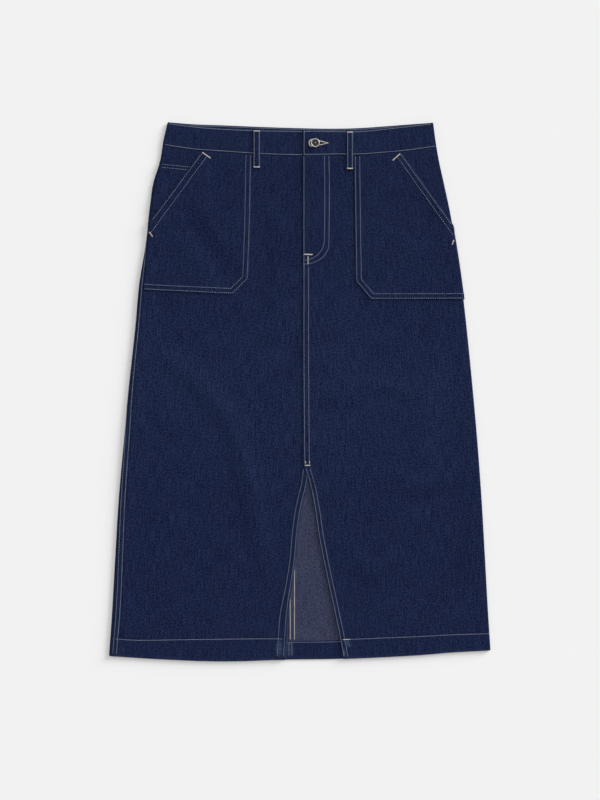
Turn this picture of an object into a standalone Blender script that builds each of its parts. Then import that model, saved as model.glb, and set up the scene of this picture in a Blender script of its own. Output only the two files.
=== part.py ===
"""Denim midi skirt, laid flat on its back with the front up and the waist towards +Y. Metres, +Z up.

Right and left are the wearer's, so the wearer's right is at -X. The skirt is a flattened tube: the back
panels lie on the surface, the cloth turns round a soft fold at each side, and the front panels lie on the
back ones. Every piece is a grid of points on that tube, given its wall by Solidify. A point is named by its
side fold, its arc length s from the fold's outermost line (positive on the front, negative on the back) and
its y.
"""

import math
from collections import namedtuple

import bmesh
import bpy
import numpy as np

NAME = "denim_skirt"

# Walls and the clearance between layers
DENIM = 0.0010
BAND = 0.0024
LOOP = 0.0020
GAP = 0.0003
PATCH_GAP = 0.0005
STEP = DENIM + GAP
PATCH_STEP = DENIM + PATCH_GAP

# Heights of the walls' middles above the surface
BACK_LEVEL = DENIM / 2
FRONT_LEVEL = 0.0023
HEM_LEVEL = BACK_LEVEL + 3 * STEP
SIDE_LEVEL = 0.0042
WAIST_LEVEL = 0.0039
BAND_BACK_LEVEL = BAND / 2
BAND_FRONT_LEVEL = BAND_BACK_LEVEL + BAND + GAP
BAND_LAP = BAND + GAP

# How far each rise of the front reaches
HEM_REACH = 0.070
WAIST_REACH = 0.060
SIDE_REACH = 0.035

# Hem: the turned-up depth and the middle radius of its fold
HEM_DEPTH = 0.028
HEM_CLEAR = 0.002
HEM_FOLD = STEP / 2

# Centre front and back seams, the lap of the left front over the right, and the fly's foot
CENTRE_FRONT = 0.0045
CENTRE_BACK = -0.0118
SEAM_LAP = 0.0105
FLY_LAP = 0.0360
LAP_REACH = 0.0500
FLY_FOOT = 0.1897
SLIT_TOP = -0.1103
LAP_END = -0.138
LAP_FALL = 0.060
LEFT_SEAM_UNDER = 0.006

# Waistband ends: the under end reaches this far left of centre, and the over end comes down past it
UNDER_END = 0.042
OVER_FLAT = 0.046
OVER_DOWN = 0.116

# Button and buttonhole
BUTTON_X, BUTTON_Y = 0.0228, 0.3718
BUTTON_RADIUS = 0.0070
SHANK_RADIUS = 0.0030
EYE_X, EYE_RADIUS = 0.0212, 0.0046
HOLE_TIP = 0.0412

Outline = namedtuple("Outline", "y right left")
OUTLINE = [
    Outline(-0.4045, -0.2868, 0.2866),
    Outline(-0.3964, -0.2862, 0.2861),
    Outline(-0.3428, -0.2823, 0.2826),
    Outline(-0.2528, -0.2771, 0.2775),
    Outline(-0.1628, -0.2717, 0.2723),
    Outline(-0.0728, -0.2637, 0.2657),
    Outline(0.0172, -0.2550, 0.2576),
    Outline(0.0982, -0.2463, 0.2495),
    Outline(0.1597, -0.2407, 0.2424),
    Outline(0.2300, -0.2295, 0.2318),
    Outline(0.2767, -0.2250, 0.2233),
    Outline(0.3119, -0.2200, 0.2157),
    Outline(0.3466, -0.2094, 0.2081),
    Outline(0.3743, -0.2050, 0.2034),
    Outline(0.4045, -0.1980, 0.1994),
]

Hem = namedtuple("Hem", "x y")
HEM = [
    Hem(-0.2862, -0.3964),
    Hem(-0.2145, -0.4010),
    Hem(-0.1140, -0.4045),
    Hem(-0.0300, -0.4022),
    Hem(0.0600, -0.4009),
    Hem(0.1200, -0.3985),
    Hem(0.1800, -0.3950),
    Hem(0.2265, -0.3912),
    Hem(0.2857, -0.3880),
]

# The waistband's edges: its back stands a little above its front in the middle
Waist = namedtuple("Waist", "x front_top front_low back_top")
WAIST = [
    Waist(-0.2050, 0.4043, 0.3685, 0.4043),
    Waist(-0.1600, 0.3982, 0.3617, 0.4007),
    Waist(-0.1140, 0.3946, 0.3584, 0.3990),
    Waist(-0.0620, 0.3925, 0.3548, 0.3968),
    Waist(0.0000, 0.3914, 0.3530, 0.3948),
    Waist(0.0500, 0.3909, 0.3536, 0.3940),
    Waist(0.0900, 0.3912, 0.3540, 0.3950),
    Waist(0.1300, 0.3950, 0.3570, 0.3978),
    Waist(0.1600, 0.3985, 0.3598, 0.4001),
    Waist(0.2040, 0.4033, 0.3660, 0.4033),
]

# The right side seam's arc length from the fold: on the front below the pocket, and past the fold above it
RightSeam = namedtuple("RightSeam", "y s")
RIGHT_SEAM = [
    RightSeam(-0.4045, 0.0130),
    RightSeam(-0.3128, 0.0138),
    RightSeam(-0.2400, 0.0128),
    RightSeam(-0.1500, 0.0112),
    RightSeam(-0.0730, 0.0096),
    RightSeam(0.0000, 0.0076),
    RightSeam(0.0980, 0.0066),
    RightSeam(0.1600, 0.0062),
    RightSeam(0.2000, 0.0042),
    RightSeam(0.2350, 0.0016),
    RightSeam(0.2900, -0.0004),
    RightSeam(0.3600, -0.0010),
]

# The front panels' slit edges
Slit = namedtuple("Slit", "y right left")
SLIT = [
    Slit(-0.4045, -0.0216, 0.0660),
    Slit(-0.3728, -0.0197, 0.0600),
    Slit(-0.3128, -0.0150, 0.0476),
    Slit(-0.2468, -0.0056, 0.0335),
    Slit(-0.2108, -0.0026, 0.0269),
    Slit(-0.1718, 0.0032, 0.0212),
    Slit(-0.1373, 0.0113, 0.0143),
    Slit(-0.1103, 0.0150, 0.0060),
]

# Patches, as lines from the side to the middle, bottom line first
Line = namedtuple("Line", "outer_x outer_y inner_x inner_y")
POCKET_RIGHT = [
    Line(-0.2335, 0.1520, -0.1008, 0.1456),
    Line(-0.2320, 0.1740, -0.0776, 0.1683),
    Line(-0.2258, 0.2540, -0.0745, 0.2500),
    Line(-0.1487, 0.3574, -0.0726, 0.3538),
]
POCKET_LEFT = [
    Line(0.2448, 0.1382, 0.1065, 0.1379),
    Line(0.2417, 0.1640, 0.0836, 0.1649),
    Line(0.2286, 0.2490, 0.0822, 0.2500),
    Line(0.1523, 0.3562, 0.0810, 0.3525),
]
COIN_POCKET = [
    Line(-0.2235, 0.2720, -0.1500, 0.2640),
    Line(-0.2092, 0.3430, -0.1500, 0.3372),
]
COIN_EDGE = 0.004
COIN_REACH = 0.022

# Broad soft ridges and troughs of the laid front: the middle, the turn from +X, half lengths and the height
Crease = namedtuple("Crease", "x y degrees length width height")
CREASES = [
    Crease(-0.052, 0.215, 84, 0.060, 0.024, -0.0004),
    Crease(-0.150, 0.205, -52, 0.055, 0.026, 0.0006),
    Crease(-0.160, 0.020, -38, 0.070, 0.030, 0.0009),
    Crease(-0.075, -0.120, -74, 0.110, 0.030, 0.0008),
    Crease(0.150, -0.020, 8, 0.090, 0.034, 0.0008),
    Crease(0.200, -0.200, 20, 0.080, 0.034, 0.0007),
    Crease(0.175, 0.190, -12, 0.050, 0.028, 0.0005),
]

Belt = namedtuple("Belt", "name low_x high_x low_y high_y")
BELT_LOOPS = [
    Belt("belt_loop_right", -0.0705, -0.0592, 0.3340, 0.3925),
    Belt("belt_loop_left", 0.0695, 0.0800, 0.3318, 0.3906),
]
LOOP_DROP = 0.012

BLUE = (0.0125, 0.0190, 0.0500, 1.0)
METAL = (0.42, 0.40, 0.38, 1.0)


def smooth(rows, column, at):
    """A column of a table at any place along its first one, by cubic pieces with the table's own slopes."""
    table = np.array(rows)
    keys, values = table[:, 0], table[:, rows[0]._fields.index(column)]
    slopes = np.gradient(values, keys)
    i = np.clip(np.searchsorted(keys, at) - 1, 0, len(keys) - 2)
    span = keys[i + 1] - keys[i]
    u = np.clip((at - keys[i]) / span, 0, 1)
    return (
        values[i] * (1 + 2 * u) * (1 - u) ** 2
        + values[i + 1] * u**2 * (3 - 2 * u)
        + span * (slopes[i] * u * (1 - u) ** 2 - slopes[i + 1] * u**2 * (1 - u))
    )


def ease(u):
    """0 up to 1 with level ends, for u from 0 to 1."""
    return (1 - np.cos(math.pi * np.clip(u, 0, 1))) / 2


def outline(side, y):
    return smooth(OUTLINE, "left" if side > 0 else "right", y)


def hem(x):
    return smooth(HEM, "y", x)


def front_low(x):
    return smooth(WAIST, "front_low", x)


def back_low(x):
    return front_low(x) + smooth(WAIST, "back_top", x) - smooth(WAIST, "front_top", x)


def side_level(y):
    """The front's height beside the folds: the hem's four layers, then the soft fold, then the waist's."""
    low = HEM_LEVEL + (SIDE_LEVEL - HEM_LEVEL) * ease((y + 0.355) / HEM_REACH)
    return low + (WAIST_LEVEL - SIDE_LEVEL) * ease((y - 0.352 + 2 * WAIST_REACH) / (2 * WAIST_REACH))


def creases(x, y):
    """Sum of soft ridges, each a bell across its width and along its length."""
    total = np.zeros(np.broadcast(x, y).shape)
    for c in CREASES:
        turn = math.radians(c.degrees)
        along = (x - c.x) * math.cos(turn) + (y - c.y) * math.sin(turn)
        across = (y - c.y) * math.cos(turn) - (x - c.x) * math.sin(turn)
        total = total + c.height * np.exp(-((along / c.length) ** 2) - (across / c.width) ** 2)
    return total


def fold_centre(side, y, level, back, wall):
    """A side fold's centre x and middle radius, for a tube whose front lies at level beside the fold."""
    radius = (level - back) / 2
    return outline(side, y) - side * (wall / 2 + radius), radius


def front_level(x, y):
    """Height of the front panels' middle: the laid cloth, raised at the hem, waist and both side folds."""
    level = side_level(y)
    right, left = [fold_centre(side, y, level, BACK_LEVEL, DENIM)[0] for side in (-1, 1)]
    beside = ease((x - right) / SIDE_REACH) * ease((left - x) / SIDE_REACH)
    above_hem = ease((y - hem(x) - HEM_DEPTH - HEM_CLEAR) / HEM_REACH)
    below_band = ease((front_low(x) - y) / WAIST_REACH)
    laid = beside * above_hem * below_band
    return level + (FRONT_LEVEL + creases(x, y) - level) * laid


def lapped_level(x, y):
    """The left front's height, which passes over the right front's lap beside the centre front."""
    past = ease((CENTRE_FRONT + FLY_LAP + LAP_REACH - x) / LAP_REACH)
    down = ease((y - LAP_END + LAP_FALL) / LAP_FALL)
    at_band = 1 - ease((front_low(x) - y) / WAIST_REACH)
    return front_level(x, y) + past * (STEP * down + (BAND_LAP - STEP) * at_band)


def band_level(x, y):
    """The band's over end lies on its under end beside the centre front, and comes down past it."""
    return BAND_FRONT_LEVEL + BAND_LAP * ease((OVER_DOWN - x) / (OVER_DOWN - OVER_FLAT)) + 0 * y


def arc_length(side, x, y):
    """How far the cloth of the front reaches from the fold's outermost line in to a given x."""
    centre, radius = fold_centre(side, y, side_level(y), BACK_LEVEL, DENIM)
    inside = side * (centre - x)
    on_fold = radius * np.arccos(np.clip(-inside / radius, 0, 1))
    return np.where(inside > 0, math.pi / 2 * radius + inside, on_fold)


def tube_points(side, s, line, inset=0.0, front=front_level, back=BACK_LEVEL, wall=DENIM, level=side_level):
    """Points at arc lengths s on the plan line y = line(x), moved in towards the tube's inside by inset.

    Within a quarter turn of the fold's outermost line they lie on its circle, and past it on the front or
    the back.
    """
    s = np.asarray(s, float)
    x = outline(side, np.zeros_like(s))
    for _ in range(8):
        y = line(x, s)
        centre, radius = fold_centre(side, y, level(y), back, wall)
        quarter = math.pi / 2 * radius
        turn = np.clip(s, -quarter, quarter) / radius
        past = np.maximum(np.abs(s) - quarter, 0)
        x = centre + side * ((radius - inset) * np.cos(turn) - past)
    on_fold = back + radius + (radius - inset) * np.sin(turn)
    z = np.where(s > quarter, front(x, y) - inset, on_fold)
    return np.stack([x, y, z], axis=-1)


def panel_line(t, above_hem):
    """The plan line at a height above the hem, or a share t of the way from there up to the waistband."""

    def line(x, s):
        low = hem(x) + above_hem
        return low + t * (np.where(s > 0, front_low(x), back_low(x)) - GAP - low)

    return line


def row_share(y):
    """The share t of the panel's height at a y of the centre front."""
    low = hem(CENTRE_FRONT) + DENIM / 2 + HEM_FOLD
    return float((y - low) / (front_low(CENTRE_FRONT) - GAP - low))


def panel_rows():
    """(t, height above the hem, inset) of each row: the turned-up hem, its fold, and the panel above."""
    rows = [(0.0, HEM_DEPTH, 2 * HEM_FOLD)]
    for turn in np.linspace(math.pi, 0, 5):
        rows.append((0.0, DENIM / 2 + HEM_FOLD * (1 - math.sin(turn)), HEM_FOLD * (1 - math.cos(turn))))
    shares = [0.034, 0.06, 0.09, 0.125, 0.17, 0.23, 0.29, row_share(LAP_END), row_share(SLIT_TOP)]
    shares += [0.46, 0.54, 0.62, 0.70, row_share(FLY_FOOT), 0.83, 0.87, 0.905, 0.935, 0.965, 1.0]
    return rows + [(t, DENIM / 2 + HEM_FOLD, 0.0) for t in shares]


def stations(start, *stretches):
    """Values from start through each stretch, given as (end, count, power).

    They are closer together at the stretch's start where its power is over 1.
    """
    values = [[start]]
    for end, count, power in stretches:
        last = values[-1][-1]
        values.append(last + (end - last) * np.linspace(0, 1, count + 1)[1:] ** power)
    return np.concatenate(values)


def needs_flip(points):
    """Whether the grid's faces point down on its last row, or up where that lies on the back."""
    along = points[-1, -1] - points[-1, -2]
    up = points[-1, -1] - points[-2, -1]
    on_back = points[-1, -1, 2] < BAND_BACK_LEVEL + GAP
    return bool((np.cross(along, up)[2] < 0) != on_back)


def cloth(name, points, wall, keep=None):
    """A named object from a grid of middle points, rows by columns, with its wall added by Solidify."""
    if needs_flip(points):
        points, keep = points[:, ::-1], None if keep is None else keep[:, ::-1]
    rows, columns = points.shape[:2]
    index = np.arange(rows * columns).reshape(rows, columns)
    quads = np.stack([index[:-1, :-1], index[:-1, 1:], index[1:, 1:], index[1:, :-1]], axis=-1)
    quads = quads[keep] if keep is not None else quads.reshape(-1, 4)
    mesh = bpy.data.meshes.new(name)
    mesh.from_pydata(points.reshape(-1, 3).tolist(), [], quads.tolist())
    shell = bmesh.new()
    shell.from_mesh(mesh)
    bmesh.ops.delete(shell, geom=[v for v in shell.verts if not v.link_faces], context="VERTS")
    shell.to_mesh(mesh)
    shell.free()
    mesh.shade_smooth()
    piece = bpy.data.objects.new(name, mesh)
    parts.objects.link(piece)
    solidify = piece.modifiers.new("wall", "SOLIDIFY")
    solidify.thickness = wall
    solidify.offset = 0
    solidify.use_even_offset = True
    return piece


def finish(piece, colour, roughness, metallic=0.0):
    """Gives a piece its own plain material."""
    material = bpy.data.materials.new(piece.name)
    material.use_nodes = True
    shader = material.node_tree.nodes["Principled BSDF"]
    shader.inputs["Base Color"].default_value = colour
    shader.inputs["Roughness"].default_value = roughness
    shader.inputs["Metallic"].default_value = metallic
    piece.data.materials.append(material)
    return piece


def quarter_turn(y):
    """The arc length from a side fold's outermost line to where the front or the back starts."""
    return float(math.pi / 4 * (side_level(y) - BACK_LEVEL))


def row_ys(side, line):
    """A row's y at the side fold and at the centre front."""
    at_fold, at_centre = np.array(outline(side, 0.0)), np.array(CENTRE_FRONT)
    return float(line(at_fold, np.array(1.0))), float(line(at_centre, np.array(1.0)))


def right_seam(y):
    return float(smooth(RIGHT_SEAM, "s", y))


def left_seam(y):
    """The left side seam lies under the garment, just past the fold."""
    return -quarter_turn(y) - LEFT_SEAM_UNDER


def build_back():
    """Two back panels, joined at the centre back. The right one wraps the side fold on to the front."""
    right, left = [], []
    for t, above_hem, inset in panel_rows():
        line = panel_line(t, above_hem)
        y = row_ys(-1, line)[0]
        start, quarter = right_seam(y) - GAP / 2, quarter_turn(y)
        centre = -float(arc_length(-1, CENTRE_BACK - GAP / 2, y))
        s = stations(start, (min(quarter, start - 0.001), 2, 1), (-quarter, 7, 1), (centre, 8, 1.2))
        right.append(tube_points(-1, s, line, inset))
        y = row_ys(1, line)[0]
        centre = -float(arc_length(1, CENTRE_BACK + GAP / 2, y))
        left.append(tube_points(1, stations(left_seam(y) - GAP / 2, (centre, 8, 1.2)), line, inset))
    finish(cloth("back_right", np.array(right), DENIM), BLUE, 0.9)
    finish(cloth("back_left", np.array(left), DENIM), BLUE, 0.9)


def build_front_right():
    """The right front runs under the left one by a seam's width, and by the fly's width above its foot."""
    points, wide = [], []
    for t, above_hem, inset in panel_rows():
        line = panel_line(t, above_hem)
        y_side, y = row_ys(-1, line)
        start = right_seam(y_side) + GAP / 2
        edge = CENTRE_FRONT + SEAM_LAP if y > SLIT_TOP - GAP else smooth(SLIT, "right", y)
        end, shield = float(arc_length(-1, edge, y)), float(arc_length(-1, CENTRE_FRONT + FLY_LAP, y))
        beside = (max(quarter_turn(y_side), start + 0.001), 5, 1.5)
        s = stations(start, beside, (end, 11, 1.35), (max(shield, end + 0.01), 2, 1))
        points.append(tube_points(-1, s, line, inset))
        wide.append(y > FLY_FOOT - GAP)
    points = np.array(points)
    kept = np.ones((len(points) - 1, points.shape[1] - 1), bool)
    kept[:, -2:] = (np.array(wide)[:-1] & np.array(wide)[1:])[:, None]
    finish(cloth("front_right", points, DENIM, kept), BLUE, 0.9)


def build_front_left():
    """The left front laps over the right one down to the slit, and wraps the side fold to its hidden seam."""
    points = []
    for t, above_hem, inset in panel_rows():
        line = panel_line(t, above_hem)
        y_side, y = row_ys(1, line)
        quarter = quarter_turn(y_side)
        edge = CENTRE_FRONT if y > SLIT_TOP + GAP else smooth(SLIT, "left", y)
        end = float(arc_length(1, edge, y))
        s = stations(left_seam(y_side) + GAP / 2, (-quarter, 1, 1), (quarter, 8, 1), (end, 13, 1.2))
        points.append(tube_points(1, s, line, inset, lapped_level))
    finish(cloth("front_left", np.array(points), DENIM), BLUE, 0.9)


def patch(name, side, lines, columns, rows, lift, front=front_level):
    """A patch between its lines, laid on the front: its points are the front's, moved out by lift.

    rows holds the count of rows between each two lines. They close up where a slant leaves the side fold.
    """
    table = np.array(lines)
    at = stations(0, *[(i + 1, n, 3 if n > 6 else 1) for i, n in enumerate(rows)])
    points = []
    for k in at:
        ends = [np.interp(k, np.arange(len(lines)), table[:, column]) for column in range(4)]
        outer_x, outer_y, inner_x, inner_y = ends

        def line(x, s, ends=tuple(ends)):
            share = np.clip((x - ends[0]) / (ends[2] - ends[0]), 0, 1)
            return np.minimum(ends[1] + (ends[3] - ends[1]) * share, front_low(x) - 2 * GAP)

        start = float(arc_length(side, outer_x, outer_y))
        end = float(arc_length(side, inner_x, inner_y))
        knee = max(start + 0.001, float(arc_length(side, outline(side, outer_y) - side * 0.0026, outer_y)))
        s = stations(start, (knee, 4, 1), (end, columns, 1.2))
        flat = tube_points(side, s, line, 0.0, front)
        points.append(tube_points(side, s, line, -lift(flat[:, 0], flat[:, 1]), front))
    points = np.array(points)
    return cloth(name, points, DENIM)


def over_coin_pocket(x, y):
    """The right pocket's height over the panel: one step, and two where the coin pocket lies between."""
    inner = max(line.inner_x for line in COIN_POCKET)
    low = min(line.inner_y for line in COIN_POCKET)
    beside = ease((inner + COIN_EDGE + COIN_REACH - x) / COIN_REACH)
    below = ease((y - low + COIN_EDGE + COIN_REACH) / COIN_REACH)
    return PATCH_STEP * (1 + beside * below)


def build_pockets():
    """Patch pockets with slanted openings and a cut corner, and the coin pocket under the right one."""

    def one_step(x, y):
        return PATCH_STEP + 0 * x

    finish(patch("coin_pocket", -1, COIN_POCKET, 6, [5], one_step), BLUE, 0.9)
    finish(patch("pocket_right", -1, POCKET_RIGHT, 13, [2, 4, 12], over_coin_pocket), BLUE, 0.9)
    finish(patch("pocket_left", 1, POCKET_LEFT, 9, [2, 4, 12], one_step, lapped_level), BLUE, 0.9)


def build_waistband():
    """One doubled strip, from its under end left of the centre front, round the right side, the back and the
    left side, to its over end at the centre front, which lies on the under end and holds the buttonhole."""

    def level(y):
        return BAND_FRONT_LEVEL + 0 * y

    points = []
    for share in (0.0, 0.5, 1.0):

        def line(x, s, share=share):
            front_top, back_top = smooth(WAIST, "front_top", x), smooth(WAIST, "back_top", x)
            low = np.where(s > 0, front_low(x), back_low(x))
            return low + share * (np.where(s > 0, front_top, back_top) - low)

        row = []
        y_side = line(np.array(-0.2), np.array(1.0)), line(np.array(0.2), np.array(1.0))
        for side, y, front_x, surface in (
            (-1, y_side[0], UNDER_END, lambda x, y: level(y) + 0 * x),
            (1, y_side[1], CENTRE_FRONT, band_level),
        ):
            centre, radius = fold_centre(side, y, level(y), BAND_BACK_LEVEL, BAND)
            quarter = math.pi / 2 * radius
            reach_front = float(quarter + side * (centre - front_x))
            reach_back = float(quarter + side * centre)
            s = stations(reach_front, (quarter, 16, 1), (-quarter, 8, 1), (-reach_back, 12, 1))
            arc = tube_points(side, s, line, 0.0, surface, BAND_BACK_LEVEL, BAND, level)
            row.append(arc if side < 0 else arc[::-1][1:])
        points.append(np.concatenate(row))
    band = cloth("waistband", np.array(points), BAND)
    cut_buttonhole(band)
    finish(band, BLUE, 0.9)


def cut_buttonhole(band):
    """A keyhole through the over end only: round at the shank, and drawn out to a point away from it."""
    eye = math.acos(EYE_RADIUS / (HOLE_TIP - EYE_X))
    turns = np.linspace(eye, 2 * math.pi - eye, 21)
    rim = [(EYE_X + EYE_RADIUS * math.cos(a), BUTTON_Y + EYE_RADIUS * math.sin(a)) for a in turns]
    rim.append((HOLE_TIP, BUTTON_Y))
    low = BAND_FRONT_LEVEL + BAND / 2 + GAP / 2
    shape = bmesh.new()
    face = shape.faces.new([shape.verts.new((x, y, low)) for x, y in rim])
    raised = bmesh.ops.extrude_face_region(shape, geom=[face])
    top = [v for v in raised["geom"] if isinstance(v, bmesh.types.BMVert)]
    bmesh.ops.translate(shape, verts=top, vec=(0, 0, 3 * BAND))
    bmesh.ops.recalc_face_normals(shape, faces=shape.faces)
    mesh = bpy.data.meshes.new("buttonhole_cutter")
    shape.to_mesh(mesh)
    shape.free()
    cutter = bpy.data.objects.new("buttonhole_cutter", mesh)
    cutter.hide_render = True
    cutter.display_type = "WIRE"
    cutters.objects.link(cutter)
    cut = band.modifiers.new("buttonhole", "BOOLEAN")
    cut.operation = "DIFFERENCE"
    cut.object = cutter


def build_belt_loops():
    """Folded strips over the band, which drop to the panel just below it and end flush with its top."""
    for belt in BELT_LOOPS:
        surface = band_level if belt.low_x > 0 else lambda x, y: BAND_FRONT_LEVEL + 0 * x
        panel_surface = lapped_level if belt.low_x > 0 else front_level
        x = np.linspace(belt.low_x, belt.high_x, 3)
        points = []
        for y in np.linspace(belt.low_y, belt.high_y, 19):
            over_band = surface(x, y) + BAND / 2 + GAP + LOOP / 2
            over_panel = panel_surface(x, y + 0 * x) + DENIM / 2 + GAP + LOOP / 2
            drop = ease((front_low(x) - GAP - y) / LOOP_DROP)
            points.append(np.stack([x, y + 0 * x, over_band + (over_panel - over_band) * drop], axis=-1))
        finish(cloth(belt.name, np.array(points), LOOP), BLUE, 0.9)


def build_button():
    """A turned shank button: the cap's rim seats on the over end, and the shank stands on the under end."""
    foot = BAND_FRONT_LEVEL + BAND / 2 + GAP
    seat = BAND_FRONT_LEVEL + BAND_LAP + BAND / 2 + GAP
    profile = [
        (0.0, seat + 0.0021),
        (0.0022, seat + 0.0022),
        (0.0031, seat + 0.0028),
        (0.0045, seat + 0.0031),
        (0.0060, seat + 0.0027),
        (BUTTON_RADIUS, seat + 0.0016),
        (BUTTON_RADIUS - 0.0002, seat + 0.0005),
        (BUTTON_RADIUS - 0.0008, seat),
        (SHANK_RADIUS, seat),
        (SHANK_RADIUS, foot),
        (0.0, foot),
    ]
    mesh = bpy.data.meshes.new("button")
    mesh.from_pydata([(x, 0, z) for x, z in profile], [(i, i + 1) for i in range(len(profile) - 1)], [])
    button = bpy.data.objects.new("button", mesh)
    button.location = (BUTTON_X, BUTTON_Y, 0)
    parts.objects.link(button)
    screw = button.modifiers.new("turn", "SCREW")
    screw.axis = "Z"
    screw.steps = screw.render_steps = 32
    screw.use_merge_vertices = True
    screw.merge_threshold = 0.00001
    finish(button, METAL, 0.35, 1.0)


for stale in list(bpy.data.objects):
    bpy.data.objects.remove(stale)
parts = bpy.data.collections.new(NAME)
cutters = bpy.data.collections.new("cutters")
bpy.context.scene.collection.children.link(parts)
bpy.context.scene.collection.children.link(cutters)
build_back()
build_front_right()
build_front_left()
build_pockets()
build_waistband()
build_belt_loops()
build_button()
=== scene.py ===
"""Denim midi skirt laid flat on its back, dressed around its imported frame. Metres, +Z up, waist towards +Y.

Right and left are the wearer's, so the wearer's right is at -X. Every panel is a sheet on one flattened tube:
a point has a side fold, an arc length s from that fold's outermost line (positive on the front, negative on
the back) and a plan line y(x) between the hem and the waistband.
"""

import math
from collections import namedtuple

import bmesh
import bpy
import numpy as np
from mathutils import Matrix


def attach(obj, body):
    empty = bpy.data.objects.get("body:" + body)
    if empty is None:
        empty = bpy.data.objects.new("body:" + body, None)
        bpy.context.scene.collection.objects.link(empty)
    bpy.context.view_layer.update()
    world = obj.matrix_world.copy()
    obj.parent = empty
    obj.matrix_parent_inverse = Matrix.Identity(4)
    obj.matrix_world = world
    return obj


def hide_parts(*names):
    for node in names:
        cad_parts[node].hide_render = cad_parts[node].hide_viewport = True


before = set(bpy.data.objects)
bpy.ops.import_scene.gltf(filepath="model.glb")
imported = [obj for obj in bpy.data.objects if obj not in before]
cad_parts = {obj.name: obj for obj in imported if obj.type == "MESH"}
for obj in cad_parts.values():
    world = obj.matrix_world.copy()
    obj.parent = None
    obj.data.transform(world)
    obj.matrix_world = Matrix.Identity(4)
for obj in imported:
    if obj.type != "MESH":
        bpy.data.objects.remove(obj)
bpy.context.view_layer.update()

# ---------------------------------------------------------------------------------------------------------
# Back panels. Two lengths of 12.5 oz indigo twill, joined at the centre back by a felled seam that stands up
# inside, with the hem turned up inside. They lie flat and rise only in a few soft creases.

DENIM = 0.0010
GAP = 0.0003
STEP = 0.0013
BAND = 0.0024
BACK_LEVEL = 0.0005
FRONT_LEVEL = 0.0029
HEM_LEVEL = BACK_LEVEL + 3 * STEP
SIDE_LEVEL = 0.0042
WAIST_LEVEL = 0.0039
HEM_REACH = 0.070
WAIST_REACH = 0.060
SIDE_REACH = 0.035
HEM_DEPTH = 0.028
HEM_FOLD = STEP / 2
CENTRE_BACK = -0.0118
LEFT_SEAM_UNDER = 0.006
FELL = 0.0078
FELL_RISE = 0.0008

Outline = namedtuple("Outline", "y right left")
OUTLINE = [
    Outline(-0.4045, -0.2868, 0.2866),
    Outline(-0.3964, -0.2862, 0.2861),
    Outline(-0.3428, -0.2823, 0.2826),
    Outline(-0.2528, -0.2771, 0.2775),
    Outline(-0.1628, -0.2717, 0.2723),
    Outline(-0.0728, -0.2637, 0.2657),
    Outline(0.0172, -0.2550, 0.2576),
    Outline(0.0982, -0.2463, 0.2495),
    Outline(0.1597, -0.2407, 0.2424),
    Outline(0.2300, -0.2295, 0.2318),
    Outline(0.2767, -0.2250, 0.2233),
    Outline(0.3119, -0.2200, 0.2157),
    Outline(0.3466, -0.2094, 0.2081),
    Outline(0.3743, -0.2050, 0.2034),
    Outline(0.4045, -0.1980, 0.1994),
]

Hem = namedtuple("Hem", "x y")
HEM = [
    Hem(-0.2862, -0.3964),
    Hem(-0.2145, -0.4010),
    Hem(-0.1140, -0.4045),
    Hem(-0.0300, -0.4022),
    Hem(0.0600, -0.4009),
    Hem(0.1200, -0.3985),
    Hem(0.1800, -0.3950),
    Hem(0.2265, -0.3912),
    Hem(0.2857, -0.3880),
]

Waist = namedtuple("Waist", "x front_top front_low back_top")
WAIST = [
    Waist(-0.2050, 0.4043, 0.3685, 0.4043),
    Waist(-0.1600, 0.3982, 0.3617, 0.4007),
    Waist(-0.1140, 0.3946, 0.3584, 0.3990),
    Waist(-0.0620, 0.3925, 0.3548, 0.3968),
    Waist(0.0000, 0.3914, 0.3530, 0.3948),
    Waist(0.0500, 0.3909, 0.3536, 0.3940),
    Waist(0.0900, 0.3912, 0.3540, 0.3950),
    Waist(0.1300, 0.3950, 0.3570, 0.3978),
    Waist(0.1600, 0.3985, 0.3598, 0.4001),
    Waist(0.2040, 0.4033, 0.3660, 0.4033),
]

# The right side seam's arc length from the fold: on the front below the pocket, and past the fold above it
RightSeam = namedtuple("RightSeam", "y s")
RIGHT_SEAM = [
    RightSeam(-0.4045, 0.0130),
    RightSeam(-0.3128, 0.0138),
    RightSeam(-0.2400, 0.0128),
    RightSeam(-0.1500, 0.0112),
    RightSeam(-0.0730, 0.0096),
    RightSeam(0.0000, 0.0076),
    RightSeam(0.0980, 0.0066),
    RightSeam(0.1600, 0.0062),
    RightSeam(0.2000, 0.0042),
    RightSeam(0.2350, 0.0016),
    RightSeam(0.2900, -0.0004),
    RightSeam(0.3600, -0.0010),
]

# Creases as smooth lines through three points, raised where height is over 0 and sunk where it is under
Crease = namedtuple("Crease", "start middle end width height")
BACK_CREASES = [
    Crease((-0.190, 0.280), (-0.130, 0.235), (-0.090, 0.165), 0.016, 0.0006),
    Crease((0.060, 0.120), (0.120, 0.090), (0.190, 0.115), 0.015, 0.0006),
    Crease((-0.200, -0.050), (-0.120, -0.085), (-0.070, -0.190), 0.017, 0.0007),
    Crease((0.090, -0.180), (0.150, -0.215), (0.225, -0.200), 0.016, 0.0006),
    Crease((0.020, -0.150), (0.026, -0.250), (0.012, -0.330), 0.012, 0.0005),
]


def smooth(rows, column, at):
    """A column of a table at any place along its first one, by cubic pieces with the table's own slopes."""
    table = np.array(rows)
    keys, values = table[:, 0], table[:, rows[0]._fields.index(column)]
    slopes = np.gradient(values, keys)
    i = np.clip(np.searchsorted(keys, at) - 1, 0, len(keys) - 2)
    span = keys[i + 1] - keys[i]
    u = np.clip((at - keys[i]) / span, 0, 1)
    level = values[i] * (1 + 2 * u) * (1 - u) ** 2 + values[i + 1] * u**2 * (3 - 2 * u)
    return level + span * (slopes[i] * u * (1 - u) ** 2 - slopes[i + 1] * u**2 * (1 - u))


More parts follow.
